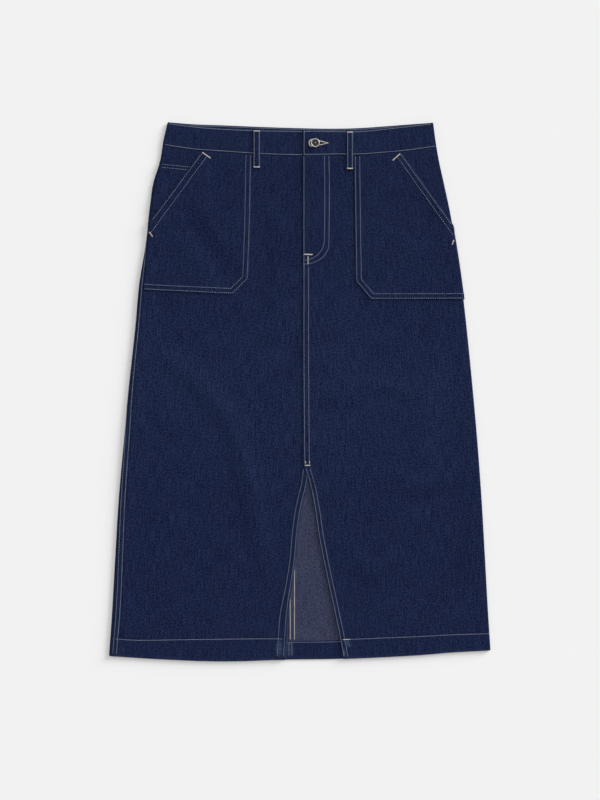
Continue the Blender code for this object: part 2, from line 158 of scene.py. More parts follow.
def ease(u):
    """0 up to 1 with level ends: half a cosine wave for u from 0 to 1."""
    return (1 - np.cos(math.pi * np.clip(u, 0, 1))) / 2


def bell(u):
    """1 at 0, falling away smoothly on both sides."""
    return np.exp(-(u**2))


def outline(side, y):
    return smooth(OUTLINE, "left" if side > 0 else "right", y)


def hem(x):
    return smooth(HEM, "y", x)


def front_low(x):
    return smooth(WAIST, "front_low", x)


def back_low(x):
    return front_low(x) + smooth(WAIST, "back_top", x) - smooth(WAIST, "front_top", x)


def side_level(y):
    """The front's height beside the folds: the hem's four layers, then the soft fold, then the waist's."""
    low = HEM_LEVEL + (SIDE_LEVEL - HEM_LEVEL) * ease((y + 0.355) / HEM_REACH)
    return low + (WAIST_LEVEL - SIDE_LEVEL) * ease((y - 0.352 + 2 * WAIST_REACH) / (2 * WAIST_REACH))


def creased(creases, x, y):
    """Sum of soft ridges, each a bell of the distance from a bent line that fades towards its ends."""
    total = np.zeros(np.broadcast(x, y).shape)
    share = np.linspace(0, 1, 25)
    for c in creases:
        ends = np.array([c.start, c.middle, c.end])
        path = np.outer((1 - share) * (1 - 2 * share), ends[0]) + np.outer(4 * share * (1 - share), ends[1])
        path = path + np.outer(share * (2 * share - 1), ends[2])
        strength = np.sin(math.pi * np.clip(0.06 + 0.88 * share, 0, 1)) ** 0.7
        distance = np.hypot(np.asarray(x)[..., None] - path[:, 0], np.asarray(y)[..., None] - path[:, 1])
        total = total + c.height * (strength * bell(distance / c.width)).max(axis=-1)
    return total


def crease_painted_shading(creases, x, y):
    """Painted crease shading: paler on the ridges and darker in the troughs, by height in metres."""
    return 90 * creased(creases, x, y)


def arc_length(side, x, y):
    """How far the front's cloth reaches from the fold's outermost line in to a given x."""
    radius = (side_level(y) - BACK_LEVEL) / 2
    inside = side * (outline(side, y) - side * (DENIM / 2 + radius) - x)
    on_fold = radius * np.arccos(np.clip(-inside / radius, 0, 1))
    return np.where(inside > 0, math.pi / 2 * radius + inside, on_fold)


def tube(side, s, line, front, inset=0.0, out=None, back=BACK_LEVEL, wall=DENIM, level=side_level):
    """Points at arc lengths s on the plan line y = line(x, s), moved in towards the tube's inside by inset.

    Within a quarter turn of the fold's outermost line they lie on its circle, and past it on the front or
    the back. out(s, x, y) then moves each point outwards.
    """
    x = np.full(np.shape(s), outline(side, 0.0))
    for _ in range(7):
        y = line(x, s)
        radius = (level(y) - back) / 2
        quarter = math.pi / 2 * radius
        turn = np.clip(s, -quarter, quarter) / radius
        past = np.maximum(np.abs(s) - quarter, 0)
        x = outline(side, y) - side * (wall / 2 + radius) + side * ((radius - inset) * np.cos(turn) - past)
    z = np.where(s > quarter, front(x, y) - inset, back + radius + (radius - inset) * np.sin(turn))
    push = out(s, x, y) if out else 0.0
    return np.stack([x + side * np.cos(turn) * push, y + 0 * x, z + np.sin(turn) * push], axis=-1)


def panel_rows():
    """(share of the height, height above the hem, inset) of each row, as columns: hem, hem fold, panel."""
    turns = np.linspace(math.pi, 0, 7)
    inner = np.linspace(HEM_DEPTH, 0.003, 9)
    share = [np.linspace(0, 0.062, 30), np.linspace(0.062, 0.965, 172)[1:], [0.974, 0.982, 0.990, 0.996, 1.0]]
    share = np.concatenate(share)
    turned_up = DENIM / 2 + HEM_FOLD * (1 - np.sin(turns))
    up = np.concatenate([inner, turned_up, np.full(len(share), DENIM / 2 + HEM_FOLD)])
    into = HEM_FOLD * (1 - np.cos(turns))
    inset = np.concatenate([np.full(len(inner), 2 * HEM_FOLD), into, np.zeros(len(share))])
    share = np.concatenate([np.zeros(len(inner) + len(turns)), share])
    return share[:, None], up[:, None], inset[:, None]


SHARE, UP, INSET = panel_rows()
TUCK = 0.0006


def panel_line(x, s):
    """The plan lines of a panel's rows: from the hem up to just inside the waistband."""
    low = hem(x) + UP
    return low + SHARE * (np.where(s > 0, front_low(x), back_low(x)) + TUCK - low)


def row_y(x):
    """Each row's y at a given x of the front, as a plain list of numbers."""
    return panel_line(np.full(SHARE.shape, x), np.ones(SHARE.shape))[:, 0]


def columns(*knots):
    """Columns that run evenly between knot lines. A knot is (arc lengths by row, count to it)."""
    parts = []
    for (start, _), (end, count) in zip(knots, knots[1:]):
        parts.append(start[:, None] + (end - start)[:, None] * np.linspace(0, 1, count + 1)[:-1])
    return np.concatenate(parts + [knots[-1][0][:, None]], axis=1)


def region_tone(y):
    """A little paler across the middle of the length and darker towards the waist and the hem, as a share
    added to its shade.
    """
    return 0.13 * bell((y - 0.01) / 0.12) - 0.06


def lengths_along(points):
    """The distance along a line of points to each of them."""
    return np.concatenate([[0], np.cumsum(np.linalg.norm(np.diff(points, axis=0), axis=-1))])


def put_in_scene(name, data):
    made = bpy.data.objects.new(name, data)
    bpy.context.scene.collection.objects.link(made)
    return made


def cloth(name, points, s, wear, tone=0.0, kept=None):
    """A sheet of denim from a grid of middle points, with its weave's map in metres, its wear and its tone,
    which can carry painted crease shade.
    """
    rows, across = points.shape[:2]
    index = np.arange(rows * across).reshape(rows, across)
    quads = np.stack([index[:-1, :-1], index[:-1, 1:], index[1:, 1:], index[1:, :-1]], axis=-1)
    r, c = rows * 2 // 3, across // 2
    normal = np.cross(points[r, c + 1] - points[r, c], points[r + 1, c] - points[r, c])
    if (normal[2] > 0) != (s[r, c] > 0):
        quads = quads[..., ::-1]
    quads = quads[kept] if kept is not None else quads.reshape(-1, 4)
    used, quads = np.unique(quads, return_inverse=True)
    quads = quads.reshape(-1, 4)
    along = lengths_along(points[:, c])[:, None] + 0 * s
    weave = np.stack([s, along], axis=-1).reshape(-1, 2)[used]
    mesh = bpy.data.meshes.new(name)
    mesh.from_pydata(points.reshape(-1, 3)[used].tolist(), [], quads.tolist())
    uv = mesh.uv_layers.new(name="cloth")
    uv.data.foreach_set("uv", weave[quads.ravel()].astype(np.float32).ravel())
    for key, values in (("wear", wear), ("tone", tone)):
        spread = np.broadcast_to(values, s.shape).ravel()[used].astype(np.float32)
        mesh.attributes.new(key, "FLOAT", "POINT").data.foreach_set("value", spread)
    mesh.shade_smooth()
    mesh.materials.append(FACE)
    mesh.materials.append(INSIDE)
    piece = put_in_scene(name, mesh)
    solidify = piece.modifiers.new("wall", "SOLIDIFY")
    solidify.thickness = DENIM
    solidify.offset = 0
    solidify.material_offset = 1
    return piece


def fill(tree, made, inputs):
    """Fills a node's inputs from values or from other sockets."""
    for key, value in dict(inputs).items():
        if isinstance(value, bpy.types.NodeSocket):
            tree.links.new(value, made.inputs[key])
        else:
            made.inputs[key].default_value = value


def node(tree, kind, inputs=(), **settings):
    """Adds a shader node, sets its properties and fills its inputs."""
    made = tree.nodes.new(kind)
    for key, value in settings.items():
        setattr(made, key, value)
    fill(tree, made, inputs)
    return made


def new_material(name):
    """A material, its node tree and its main shader."""
    material = bpy.data.materials.new(name)
    material.use_nodes = True
    return material, material.node_tree, material.node_tree.nodes["Principled BSDF"]


def tinted(tree, colour, shades):
    """A colour times one shade for each of red, green and blue."""
    grey = node(tree, "ShaderNodeCombineColor", dict(enumerate(shades))).outputs[0]
    inputs = {0: 1.0, 6: colour, 7: grey}
    return node(tree, "ShaderNodeMix", inputs, data_type="RGBA", blend_type="MULTIPLY").outputs[2]


def maths(tree, operation, *values):
    return node(tree, "ShaderNodeMath", dict(enumerate(values)), operation=operation).outputs[0]


RIB_PITCH = 0.0009


def twill_group():
    """Node group of a steep twill: ribs, slubby warp yarns and specks, as a shade about 1 and a height."""
    tree = bpy.data.node_groups.new("twill_weave", "ShaderNodeTree")
    tree.interface.new_socket("Cloth", in_out="INPUT", socket_type="NodeSocketVector")
    for name in ("Rib", "Slub", "Speck"):
        tree.interface.new_socket(name, in_out="INPUT", socket_type="NodeSocketFloat")
    for name in ("Shade", "Height"):
        tree.interface.new_socket(name, in_out="OUTPUT", socket_type="NodeSocketFloat")
    given = node(tree, "NodeGroupInput").outputs
    rib_way = (0.89 * 2 * math.pi / RIB_PITCH, -0.45 * 2 * math.pi / RIB_PITCH, 0)
    weft_way = (0.45 * 2 * math.pi / RIB_PITCH, 0.89 * 2 * math.pi / RIB_PITCH, 0)
    waves = []
    for way in (rib_way, weft_way):
        phase = node(tree, "ShaderNodeVectorMath", {0: given["Cloth"], 1: way}, operation="DOT_PRODUCT")
        waves.append(maths(tree, "SINE", phase.outputs["Value"]))
    noises = []
    for scale in ((600, 40, 1), (480, 420, 1), (15, 13, 1)):
        place = node(tree, "ShaderNodeVectorMath", {0: given["Cloth"], 1: scale}, operation="MULTIPLY")
        noise = node(tree, "ShaderNodeTexNoise", {"Vector": place.outputs[0], "Scale": 1.0, "Detail": 2.0})
        noises.append(maths(tree, "SUBTRACT", noise.outputs["Fac"], 0.5))
    shade = maths(tree, "ADD", 1.0, maths(tree, "MULTIPLY", waves[0], given["Rib"]))
    shade = maths(tree, "ADD", shade, maths(tree, "MULTIPLY", noises[0], given["Slub"]))
    shade = maths(tree, "ADD", shade, maths(tree, "MULTIPLY", noises[1], given["Speck"]))
    shade = maths(tree, "ADD", shade, maths(tree, "MULTIPLY", noises[2], 0.30))
    height = maths(tree, "ADD", waves[0], maths(tree, "MULTIPLY", waves[1], 0.4))
    height = maths(tree, "ADD", height, maths(tree, "MULTIPLY", noises[0], 2.0))
    node(tree, "NodeGroupOutput", {"Shade": maths(tree, "MAXIMUM", shade, 0.25), "Height": height})
    return tree


TWILL = twill_group()


def denim(name, colour, worn_colour, rib, slub, speck):
    """Indigo twill: the weave's shade on the dye, paled where it is worn, dull, with the ribs as a bump."""
    material, tree, shader = new_material(name)
    weave = node(tree, "ShaderNodeUVMap", uv_map="cloth").outputs["UV"]
    strengths = {"Cloth": weave, "Rib": rib, "Slub": slub, "Speck": speck}
    twill = node(tree, "ShaderNodeGroup", strengths, node_tree=TWILL)
    # The tone attribute carries painted crease shade, darker in troughs and paler on ridges, on the fronts and
    # pockets
    tone = node(tree, "ShaderNodeAttribute", attribute_name="tone").outputs["Fac"]
    shade = maths(tree, "MULTIPLY", twill.outputs["Shade"], maths(tree, "ADD", 1.0, tone))
    blue = maths(tree, "ADD", maths(tree, "MULTIPLY", shade, 0.62), 0.38)
    dyed = tinted(tree, colour, (shade, shade, blue))
    rub = node(tree, "ShaderNodeTexNoise", {"Vector": weave, "Scale": 260.0, "Detail": 3.0}).outputs["Fac"]
    wear = node(tree, "ShaderNodeAttribute", attribute_name="wear").outputs["Fac"]
    patchy = node(tree, "ShaderNodeMapRange", {0: rub, 1: 0.35, 2: 0.7}).outputs[0]
    worn = maths(tree, "MULTIPLY", wear, patchy)
    mixed = node(tree, "ShaderNodeMix", {0: worn, 6: dyed, 7: worn_colour}, data_type="RGBA")
    relief = {"Strength": 0.35, "Distance": 0.00015, "Height": twill.outputs["Height"]}
    bump = node(tree, "ShaderNodeBump", relief)
    look = {"Base Color": mixed.outputs[2], "Normal": bump.outputs[0], "Roughness": 0.88}
    fill(tree, shader, {**look, "Specular IOR Level": 0.08, "Sheen Weight": 0.02})
    fill(tree, shader, {"Sheen Roughness": 0.5, "Sheen Tint": (0.55, 0.62, 0.85, 1)})
    return material


FACE = denim("denim_face", (0.0076, 0.0134, 0.0447, 1), (0.085, 0.125, 0.205, 1), 0.26, 2.3, 4.6)
INSIDE = denim("denim_inside", (0.0358, 0.0420, 0.0800, 1), (0.10, 0.12, 0.17, 1), 0.18, 1.2, 2.9)


def right_seam(y):
    return smooth(RIGHT_SEAM, "s", y)


def quarter_turn(y):
    return math.pi / 4 * (side_level(y) - BACK_LEVEL)


def step_at(distance, soft=0.0008):
    """0 before an edge and 1 past it, over a short rise."""
    return ease(distance / soft + 0.5)


def back_front(x, y):
    """The back panel where it passes round the right fold on to the front."""
    return side_level(y) + 0 * x


def back_out(s, x, y):
    """The back's soft creases, and its felled side edge raised where it lies over the right front."""
    side = FELL_RISE * step_at(s - right_seam(y) + FELL) * ease(s / 0.003 + 0.3) * (x < 0)
    flat = ease((-s - 0.006) / 0.02)
    above_hem = ease((y - hem(x) - HEM_DEPTH - 0.004) / 0.03)
    return side - creased(BACK_CREASES, x, y) * flat * above_hem


def hem_wear(x, y):
    """Wear on the hem's fold: strongest on the last millimetres, uneven along it."""
    uneven = 0.6 + 0.25 * np.sin(x * 91) + 0.15 * np.sin(x * 263 + 1)
    return 0.55 * np.exp(-np.maximum(y - hem(x), 0) / 0.0016) * uneven


def dress(piece, *nodes, slot="denim"):
    """Puts a finished piece on the frame in place of its CAD nodes."""
    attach(piece, "root")
    if nodes:
        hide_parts(*nodes)


Rub = namedtuple("Rub", "x y wide tall strength")


def rubbed(spots, x, y):
    """Wear in soft-edged patches, where thick crossings of seam and hem rub."""
    total = np.zeros(np.shape(x))
    for spot in spots:
        reach = ((x - spot.x) / spot.wide) ** 4 + ((y - spot.y) / spot.tall) ** 4
        total = total + spot.strength * np.exp(-reach)
    return total


y_right, y_left = row_y(-0.26), row_y(0.26)
y_back = panel_line(np.full(SHARE.shape, CENTRE_BACK), -np.ones(SHARE.shape))[:, 0]
back_rubs = [Rub(-0.0150, -0.3860, 0.0050, 0.0110, 0.40)]
seam, quarter = right_seam(y_right), quarter_turn(y_right)
centre = -arc_length(-1, CENTRE_BACK, y_back)
s = columns(
    (seam, 0),
    (seam - 0.0025, 5),
    (seam - 0.0110, 9),
    (-0.004 - quarter, 26),
    (centre + 0.012, 58),
    (centre, 12),
)
points = tube(-1, s, panel_line, back_front, INSET, back_out)
from_seam = s - seam[:, None]
x, y = points[..., 0], points[..., 1]
wear = hem_wear(x, y) + rubbed(back_rubs, x, y)
wear = wear + 0.28 * np.exp(-np.abs(from_seam) / 0.0012) + 0.12 * np.exp(-np.abs(from_seam + FELL) / 0.0012)
back_right = cloth("back_panel_right", points, s, wear, region_tone(y))
dress(back_right, "back_right")

quarter = quarter_turn(y_left)
centre = -arc_length(1, CENTRE_BACK, y_back)
s = columns((-quarter - LEFT_SEAM_UNDER, 0), (-quarter - 0.016, 8), (centre + 0.012, 62), (centre, 12))
points = tube(1, s, panel_line, back_front, INSET, back_out)
x, y = points[..., 0], points[..., 1]
wear = hem_wear(x, y) + rubbed(back_rubs, x, y)
back_left = cloth("back_panel_left", points, s, wear, region_tone(y))
dress(back_left, "back_left")

# The centre back's seam allowances, felled into one flat strip over the join, down to the turned-up hem
x = CENTRE_BACK + 0.0003 + np.linspace(-0.0050, 0.0050, 15)[None, :] + np.zeros((260, 1))
y = np.linspace(hem(CENTRE_BACK) + HEM_DEPTH - 0.0030, back_low(CENTRE_BACK), 260)[:, None] + 0 * x
under_hem = -0.5 * FELL_RISE * step_at(hem(x) + HEM_DEPTH + 0.0012 - y, 0.003)
rounded = -0.0003 * np.exp(-(0.0050 - np.abs(x - CENTRE_BACK - 0.0003)) / 0.0006)
points = np.stack([x, y, BACK_LEVEL + FELL_RISE + under_hem + rounded], axis=-1)
fell = cloth("centre_back_fell", points, -0.25 + x, 0.0)
dress(fell)

# ---------------------------------------------------------------------------------------------------------
# Front panels. The left one laps over the right at the centre front and is topstitched down to the slit; the
# slit's edges are turned in and stitched twice. The right one's side edge goes under the back's felled edge.

CENTRE_FRONT = 0.0045
SEAM_LAP = 0.0105
FLY_LAP = 0.036
LAP_REACH = 0.050
FLY_FOOT = 0.1897
SLIT_TOP = -0.1103
LAP_END = -0.138
LAP_FALL = 0.060
BAND_LAP = BAND + GAP
TURNED = 0.0090

Slit = namedtuple("Slit", "y right left")
SLIT = [
    Slit(-0.4045, -0.0216, 0.0660),
    Slit(-0.3728, -0.0197, 0.0600),
    Slit(-0.3128, -0.0150, 0.0476),
    Slit(-0.2468, -0.0056, 0.0335),
    Slit(-0.2108, -0.0026, 0.0269),
    Slit(-0.1718, 0.0032, 0.0212),
    Slit(-0.1373, 0.0113, 0.0143),
    Slit(-0.1103, 0.0150, 0.0060),
]

FRONT_CREASES = [
    Crease((-0.173, 0.280), (-0.139, 0.224), (-0.102, 0.175), 0.013, -0.0016),
    Crease((-0.185, 0.235), (-0.150, 0.190), (-0.128, 0.150), 0.014, 0.0011),
    Crease((-0.057, 0.272), (-0.048, 0.185), (-0.062, 0.128), 0.011, -0.0014),
    Crease((-0.062, 0.128), (-0.082, 0.108), (-0.125, 0.106), 0.012, -0.0011),
    Crease((-0.030, 0.295), (-0.020, 0.275), (-0.012, 0.257), 0.009, -0.0010),
    Crease((-0.027, 0.205), (-0.016, 0.188), (-0.005, 0.172), 0.009, -0.0010),
    Crease((0.115, 0.287), (0.140, 0.289), (0.166, 0.296), 0.010, -0.0011),
    Crease((0.165, 0.287), (0.187, 0.262), (0.202, 0.227), 0.011, -0.0008),
    Crease((0.120, 0.240), (0.150, 0.228), (0.185, 0.190), 0.014, 0.0009),
    Crease((-0.206, 0.058), (-0.155, 0.016), (-0.112, -0.030), 0.015, 0.0021),
    Crease((-0.112, -0.030), (-0.078, -0.118), (-0.046, -0.262), 0.015, 0.0019),
    Crease((-0.180, 0.008), (-0.140, -0.030), (-0.112, -0.085), 0.013, -0.0010),
    Crease((-0.113, -0.075), (-0.095, -0.175), (-0.062, -0.290), 0.012, -0.0012),
    Crease((-0.228, -0.035), (-0.216, -0.055), (-0.200, -0.070), 0.012, -0.0010),
    Crease((-0.216, 0.150), (-0.206, 0.134), (-0.196, 0.112), 0.011, -0.0011),
    Crease((-0.011, 0.075), (-0.014, 0.045), (-0.021, 0.012), 0.009, -0.0012),
    Crease((-0.043, 0.022), (-0.053, -0.002), (-0.070, -0.030), 0.010, -0.0012),
    Crease((0.018, -0.020), (0.060, -0.026), (0.105, -0.014), 0.010, -0.0013),
    Crease((0.095, -0.016), (0.125, -0.006), (0.158, -0.022), 0.010, -0.0012),
    Crease((0.050, 0.002), (0.110, 0.012), (0.190, -0.004), 0.014, 0.0012),
    Crease((0.130, -0.153), (0.185, -0.158), (0.240, -0.141), 0.011, -0.0013),
    Crease((0.150, -0.128), (0.195, -0.132), (0.245, -0.116), 0.014, 0.0013),
    Crease((0.066, -0.272), (0.098, -0.290), (0.132, -0.274), 0.011, -0.0012),
    Crease((0.080, -0.242), (0.115, -0.258), (0.160, -0.240), 0.014, 0.0012),
    Crease((-0.262, -0.340), (-0.180, -0.352), (-0.132, -0.295), 0.012, -0.0012),
    Crease((-0.098, -0.344), (-0.060, -0.340), (-0.030, -0.318), 0.010, -0.0010),
    Crease((0.183, 0.140), (0.186, 0.100), (0.181, 0.058), 0.011, -0.0012),
    Crease((0.243, -0.215), (0.236, -0.260), (0.235, -0.305), 0.011, -0.0012),
    Crease((0.052, 0.347), (0.053, 0.330), (0.051, 0.308), 0.009, -0.0009),
    Crease((0.215, 0.040), (0.190, -0.060), (0.205, -0.110), 0.016, 0.0010),
]


def front_height(x, y):
    """Height of the front's middle: the laid, creased cloth, raised at the hem, the waist and the folds."""
    level = side_level(y)
    radius = (level - BACK_LEVEL) / 2 + DENIM / 2
    beside = ease((x - outline(-1, y) - radius) / SIDE_REACH)
    beside = beside * ease((outline(1, y) - radius - x) / SIDE_REACH)
    above_hem = ease((y - hem(x) - HEM_DEPTH - 0.004) / HEM_REACH)
    below_band = ease((front_low(x) - y) / WAIST_REACH)
    wander = np.sin(x * 47 + y * 18) * np.sin(y * 39 - x * 11 + 1.3) + 0.6 * np.sin(x * 92 - y * 33 + 2)
    loose = ease((x - outline(-1, y)) / 0.03) * ease((outline(1, y) - x) / 0.03)
    loose = loose * ease((y - hem(x) - 0.026) / 0.03) * ease((front_low(x) - y) / 0.03)
    height = level + (FRONT_LEVEL - level) * beside * above_hem * below_band
    relief = np.maximum(creased(FRONT_CREASES, x, y) + 0.00025 * wander, -0.0012 - 0 * x)
    return height + relief * loose


def lapped_height(x, y):
    """The left front's height, which passes over the right front's lap beside the centre front."""
    past = ease((CENTRE_FRONT + FLY_LAP + LAP_REACH - x) / LAP_REACH)
    down = ease((y - LAP_END + LAP_FALL) / LAP_FALL)
    at_band = 1 - ease((front_low(x) - y) / WAIST_REACH)
    return front_height(x, y) + past * (STEP * down + (BAND_LAP - STEP) * at_band)


HemRow = namedtuple("HemRow", "x y")
HEM_ROW = [
    HemRow(-0.2860, -0.3700),
    HemRow(-0.2550, -0.3722),
    HemRow(-0.1740, -0.3718),
    HemRow(-0.0340, -0.3704),
    HemRow(0.0645, -0.3716),
    HemRow(0.1200, -0.3694),
    HemRow(0.1800, -0.3670),
    HemRow(0.2310, -0.3643),
    HemRow(0.2860, -0.3628),
]


def hem_row(x):
    return smooth(HEM_ROW, "y", x)


def hem_relief(x, y):
    """The hem's top edge inside shows as a low step, and its stitching draws the cloth into small waves."""
    over = y - hem_row(x) - 0.0012
    pucker = np.sin(x * 2 * math.pi / 0.0125 + 1.5 * np.sin(x * 61)) * bell(over / 0.008)
    return 0.00013 * pucker - 0.0003 * bell(over / 0.0012)


def edge_fall(distance, reach=0.0011):
    """A turned edge rounds down over its last millimetre."""
    return -0.0005 * np.clip(1 - distance / reach, 0, 1) ** 2


def turned_band(distance, waviness):
    """A turned-in edge: raised over its width, rounded at the edge, and drawn in by its stitches."""
    band = 0.0006 * step_at(TURNED - distance, 0.002) + edge_fall(distance)
    return band + 0.00012 * np.sin(waviness * 2 * math.pi / 0.0105) * bell((distance - 0.005) / 0.006)


def slit_spread(side, y):
    """The right front's turned slit edge widens towards the hem, where it is turned in at a slant."""
    return 1 + (0.48 * ease((-0.285 - y) / 0.060) if side < 0 else 0)


def slit_edge(side, x, y):
    """Distance from a front's slit edge, along x, divided by how far its turned edge has widened there."""
    return side * (x - smooth(SLIT, "left" if side > 0 else "right", y)) / slit_spread(side, y)


def right_front_out(s, x, y):
    """The right front sinks under the side seam's fell and thickens along the slit."""
    under = -0.0006 * step_at(right_seam(y) + 0.0006 - s, 0.0012)
    below = step_at(SLIT_TOP - y, 0.01)
    return under + turned_band(np.maximum(slit_edge(-1, x, y), 0), y) * below + hem_relief(x, y)


def left_front_out(s, x, y):
    """The left front's lapped edge and slit edge are turned in, and the fly's facing lies behind its top."""
    below = step_at(SLIT_TOP - y, 0.01)
    slit = turned_band(np.maximum(slit_edge(1, x, y), 0), y) * below
    lapped = turned_band(np.maximum(x - CENTRE_FRONT, 0), y) * (1 - below)
    fly = 0.0004 * step_at(CENTRE_FRONT + 0.040 - x, 0.002) * step_at(y - FLY_FOOT, 0.01) * (s > 0)
    return (slit + 0.5 * lapped) * (s > 0) + fly + hem_relief(x, y) * (s > 0)


y_centre = row_y(CENTRE_FRONT)
seam, quarter = right_seam(y_right), quarter_turn(y_right)
edge = np.where(y_centre > SLIT_TOP, CENTRE_FRONT + SEAM_LAP, smooth(SLIT, "right", y_centre))
end = arc_length(-1, edge, y_centre)
shield = np.maximum(arc_length(-1, CENTRE_FRONT + FLY_LAP, y_centre), end + 0.01)
knee = np.maximum(quarter, seam + 0.002)
s = columns(
    (seam - 0.0015, 0),
    (knee, 9),
    (knee + 0.010, 8),
    (end - 0.014, 60),
    (end - 0.0025, 8),
    (end, 5),
    (shield, 6),
)
points = tube(-1, s, panel_line, front_height, INSET, right_front_out)
wide = y_centre > FLY_FOOT
kept = np.ones((s.shape[0] - 1, s.shape[1] - 1), bool)
kept[:, -6:] = (wide[:-1] & wide[1:])[:, None]
slit_wear = 0.5 * np.exp(-np.abs(s - end[:, None]) / 0.0011) * (y_centre < SLIT_TOP)[:, None]
rubs = [Rub(-0.0310, -0.3845, 0.0042, 0.0105, 0.55)]
x, y = points[..., 0], points[..., 1]
wear = hem_wear(x, y) + slit_wear + rubbed(rubs, x, y)
# Tone: painted crease shade (darker troughs, paler ridges) added to a gradual change along the length
tone = region_tone(y) + crease_painted_shading(FRONT_CREASES, x, y)
front_right = cloth("front_panel_right", points, s, wear, tone, kept)
dress(front_right, "front_right")

quarter = quarter_turn(y_left)
edge = np.where(y_centre > SLIT_TOP, CENTRE_FRONT, smooth(SLIT, "left", y_centre))
end = arc_length(1, edge, y_centre)
s = columns(
    (-quarter - LEFT_SEAM_UNDER + 0.0003, 0),
    (-quarter, 4),
    (quarter, 14),
    (quarter + 0.010, 6),
    (end - 0.014, 58),
    (end - 0.0025, 8),
    (end, 5),
)
points = tube(1, s, panel_line, lapped_height, INSET, left_front_out)
edge_wear = 0.22 * np.exp(-np.abs(s - end[:, None]) / 0.0011) * np.where(y_centre < SLIT_TOP, 2.2, 1)[:, None]
rubs = [Rub(0.0728, -0.3780, 0.0034, 0.0046, 0.60), Rub(0.0668, -0.3905, 0.0020, 0.0045, 0.45)]
x, y = points[..., 0], points[..., 1]
wear = hem_wear(x, y) + edge_wear + rubbed(rubs, x, y)
# Tone: painted crease shade (darker troughs, paler ridges) added to a gradual change along the length
tone = region_tone(y) + crease_painted_shading(FRONT_CREASES, x, y)
front_left = cloth("front_panel_left", points, s, wear, tone)
dress(front_left, "front_left")

# ---------------------------------------------------------------------------------------------------------
# Pockets. Patches of the same twill laid on the fronts, their edges turned under and stitched twice, open at
# the slant. The small coin pocket lies under the right one and shows between its slant and the side.

Line = namedtuple("Line", "outer_x outer_y inner_x inner_y")
POCKET_RIGHT = [
    Line(-0.2335, 0.1520, -0.1008, 0.1456),
    Line(-0.2320, 0.1740, -0.0776, 0.1683),
    Line(-0.2258, 0.2540, -0.0745, 0.2500),
    Line(-0.1487, 0.3574, -0.0726, 0.3538),
]
POCKET_LEFT = [
    Line(0.2448, 0.1382, 0.1065, 0.1379),
    Line(0.2417, 0.1640, 0.0836, 0.1649),
    Line(0.2286, 0.2490, 0.0822, 0.2500),
    Line(0.1523, 0.3562, 0.0810, 0.3525),
]
COIN_POCKET = [
    Line(-0.2235, 0.2720, -0.1500, 0.2640),
    Line(-0.2092, 0.3430, -0.1500, 0.3372),
]
PATCH_STEP = DENIM + 0.0004
HEMMED = 0.0092
COIN_FADE = 0.026


def sewn_edge(lines, slant=True):
    """The patch's stitched outline: its slant, then its inner edge down and round to the side."""
    down = [(line.inner_x, line.inner_y) for line in reversed(lines)]
    down.append((lines[0].outer_x, lines[0].outer_y))
    up = [(lines[-2].outer_x, lines[-2].outer_y), (lines[-1].outer_x, lines[-1].outer_y)]
    return [np.array(up), np.array(down)] if slant else [np.array(down)]


def edge_distance(edges, x, y):
    """Distance in plan to the nearest of the straight runs of some outlines."""
    nearest = np.full(np.broadcast(x, y).shape, 1.0)
    for edge in edges:
        for a, b in zip(edge, edge[1:]):
            run = b - a
            along = np.clip(((x - a[0]) * run[0] + (y - a[1]) * run[1]) / (run @ run), 0, 1)
            nearest = np.minimum(nearest, np.hypot(x - a[0] - along * run[0], y - a[1] - along * run[1]))
    return nearest


def patch_relief(edges, x, y):
    """A patch is raised where its edge is turned under, and falls to the panel at the very edge."""
    d = edge_distance(edges, x, y)
    wave = 0.00012 * np.sin((x - 0.7 * y) * 2 * math.pi / 0.0115) * bell((d - 0.005) / 0.006)
    return 0.0004 * step_at(HEMMED - d, 0.0024) + 1.3 * edge_fall(d) + wave


def over_coin_pocket(x, y):
    """The right pocket's height over the panel: one step, and two where the coin pocket lies between."""
    beside = ease((COIN_POCKET[0].inner_x + COIN_FADE - x) / 0.022)
    below = ease((y - COIN_POCKET[0].inner_y + COIN_FADE) / 0.022)
    return PATCH_STEP * (1 + beside * below)


def dense_ends(count, ends, margin):
    """0 to 1 in even steps, with ends extra steps packed into the margin at both ends."""
    edge = margin * np.linspace(0, 1, ends + 1)[:-1]
    return np.concatenate([edge, np.linspace(margin, 1 - margin, count), 1 - edge[::-1]])


def patch(name, side, lines, counts, lift, front, slant=True):
    """A patch between its lines: the front's points moved out by lift, with the turned edges' relief."""
    table = np.array(lines)
    k = dense_ends(counts[0], 6, 0.02) * (len(lines) - 1)
    ends = [np.interp(k, np.arange(len(lines)), table[:, c])[:, None] for c in range(4)]

    def line(x, s):
        share = np.clip((x - ends[0]) / (ends[2] - ends[0]), 0, 1)
        return np.minimum(ends[1] + (ends[3] - ends[1]) * share, front_low(x) + TUCK)

    start = arc_length(side, ends[0], ends[1])
    end = arc_length(side, ends[2], ends[3])
    s = start + (end - start) * dense_ends(counts[1], 7, 0.018)
    edges = sewn_edge(lines, slant)
    flat = tube(side, s, line, front)
    raised = -lift(flat[..., 0], flat[..., 1])
    points = tube(side, s, line, front, raised, lambda s, x, y: patch_relief(edges, x, y))
    x, y = points[..., 0], points[..., 1]
    wear = 0.24 * np.exp(-edge_distance(edges, x, y) / 0.0010)
    # Tone: painted crease shade (darker troughs, paler ridges) added to a gradual change along the length
    tone = region_tone(y) + crease_painted_shading(FRONT_CREASES, x, y)
    return cloth(name, points, s, wear, tone)


def one_step(x, y):
    return PATCH_STEP + 0 * x


def over_patch(height, lift, edges):
    """The height of a patch's middle surface, as a function of place."""
    return lambda x, y: height(x, y) + lift(x, y) + patch_relief(edges, x, y)


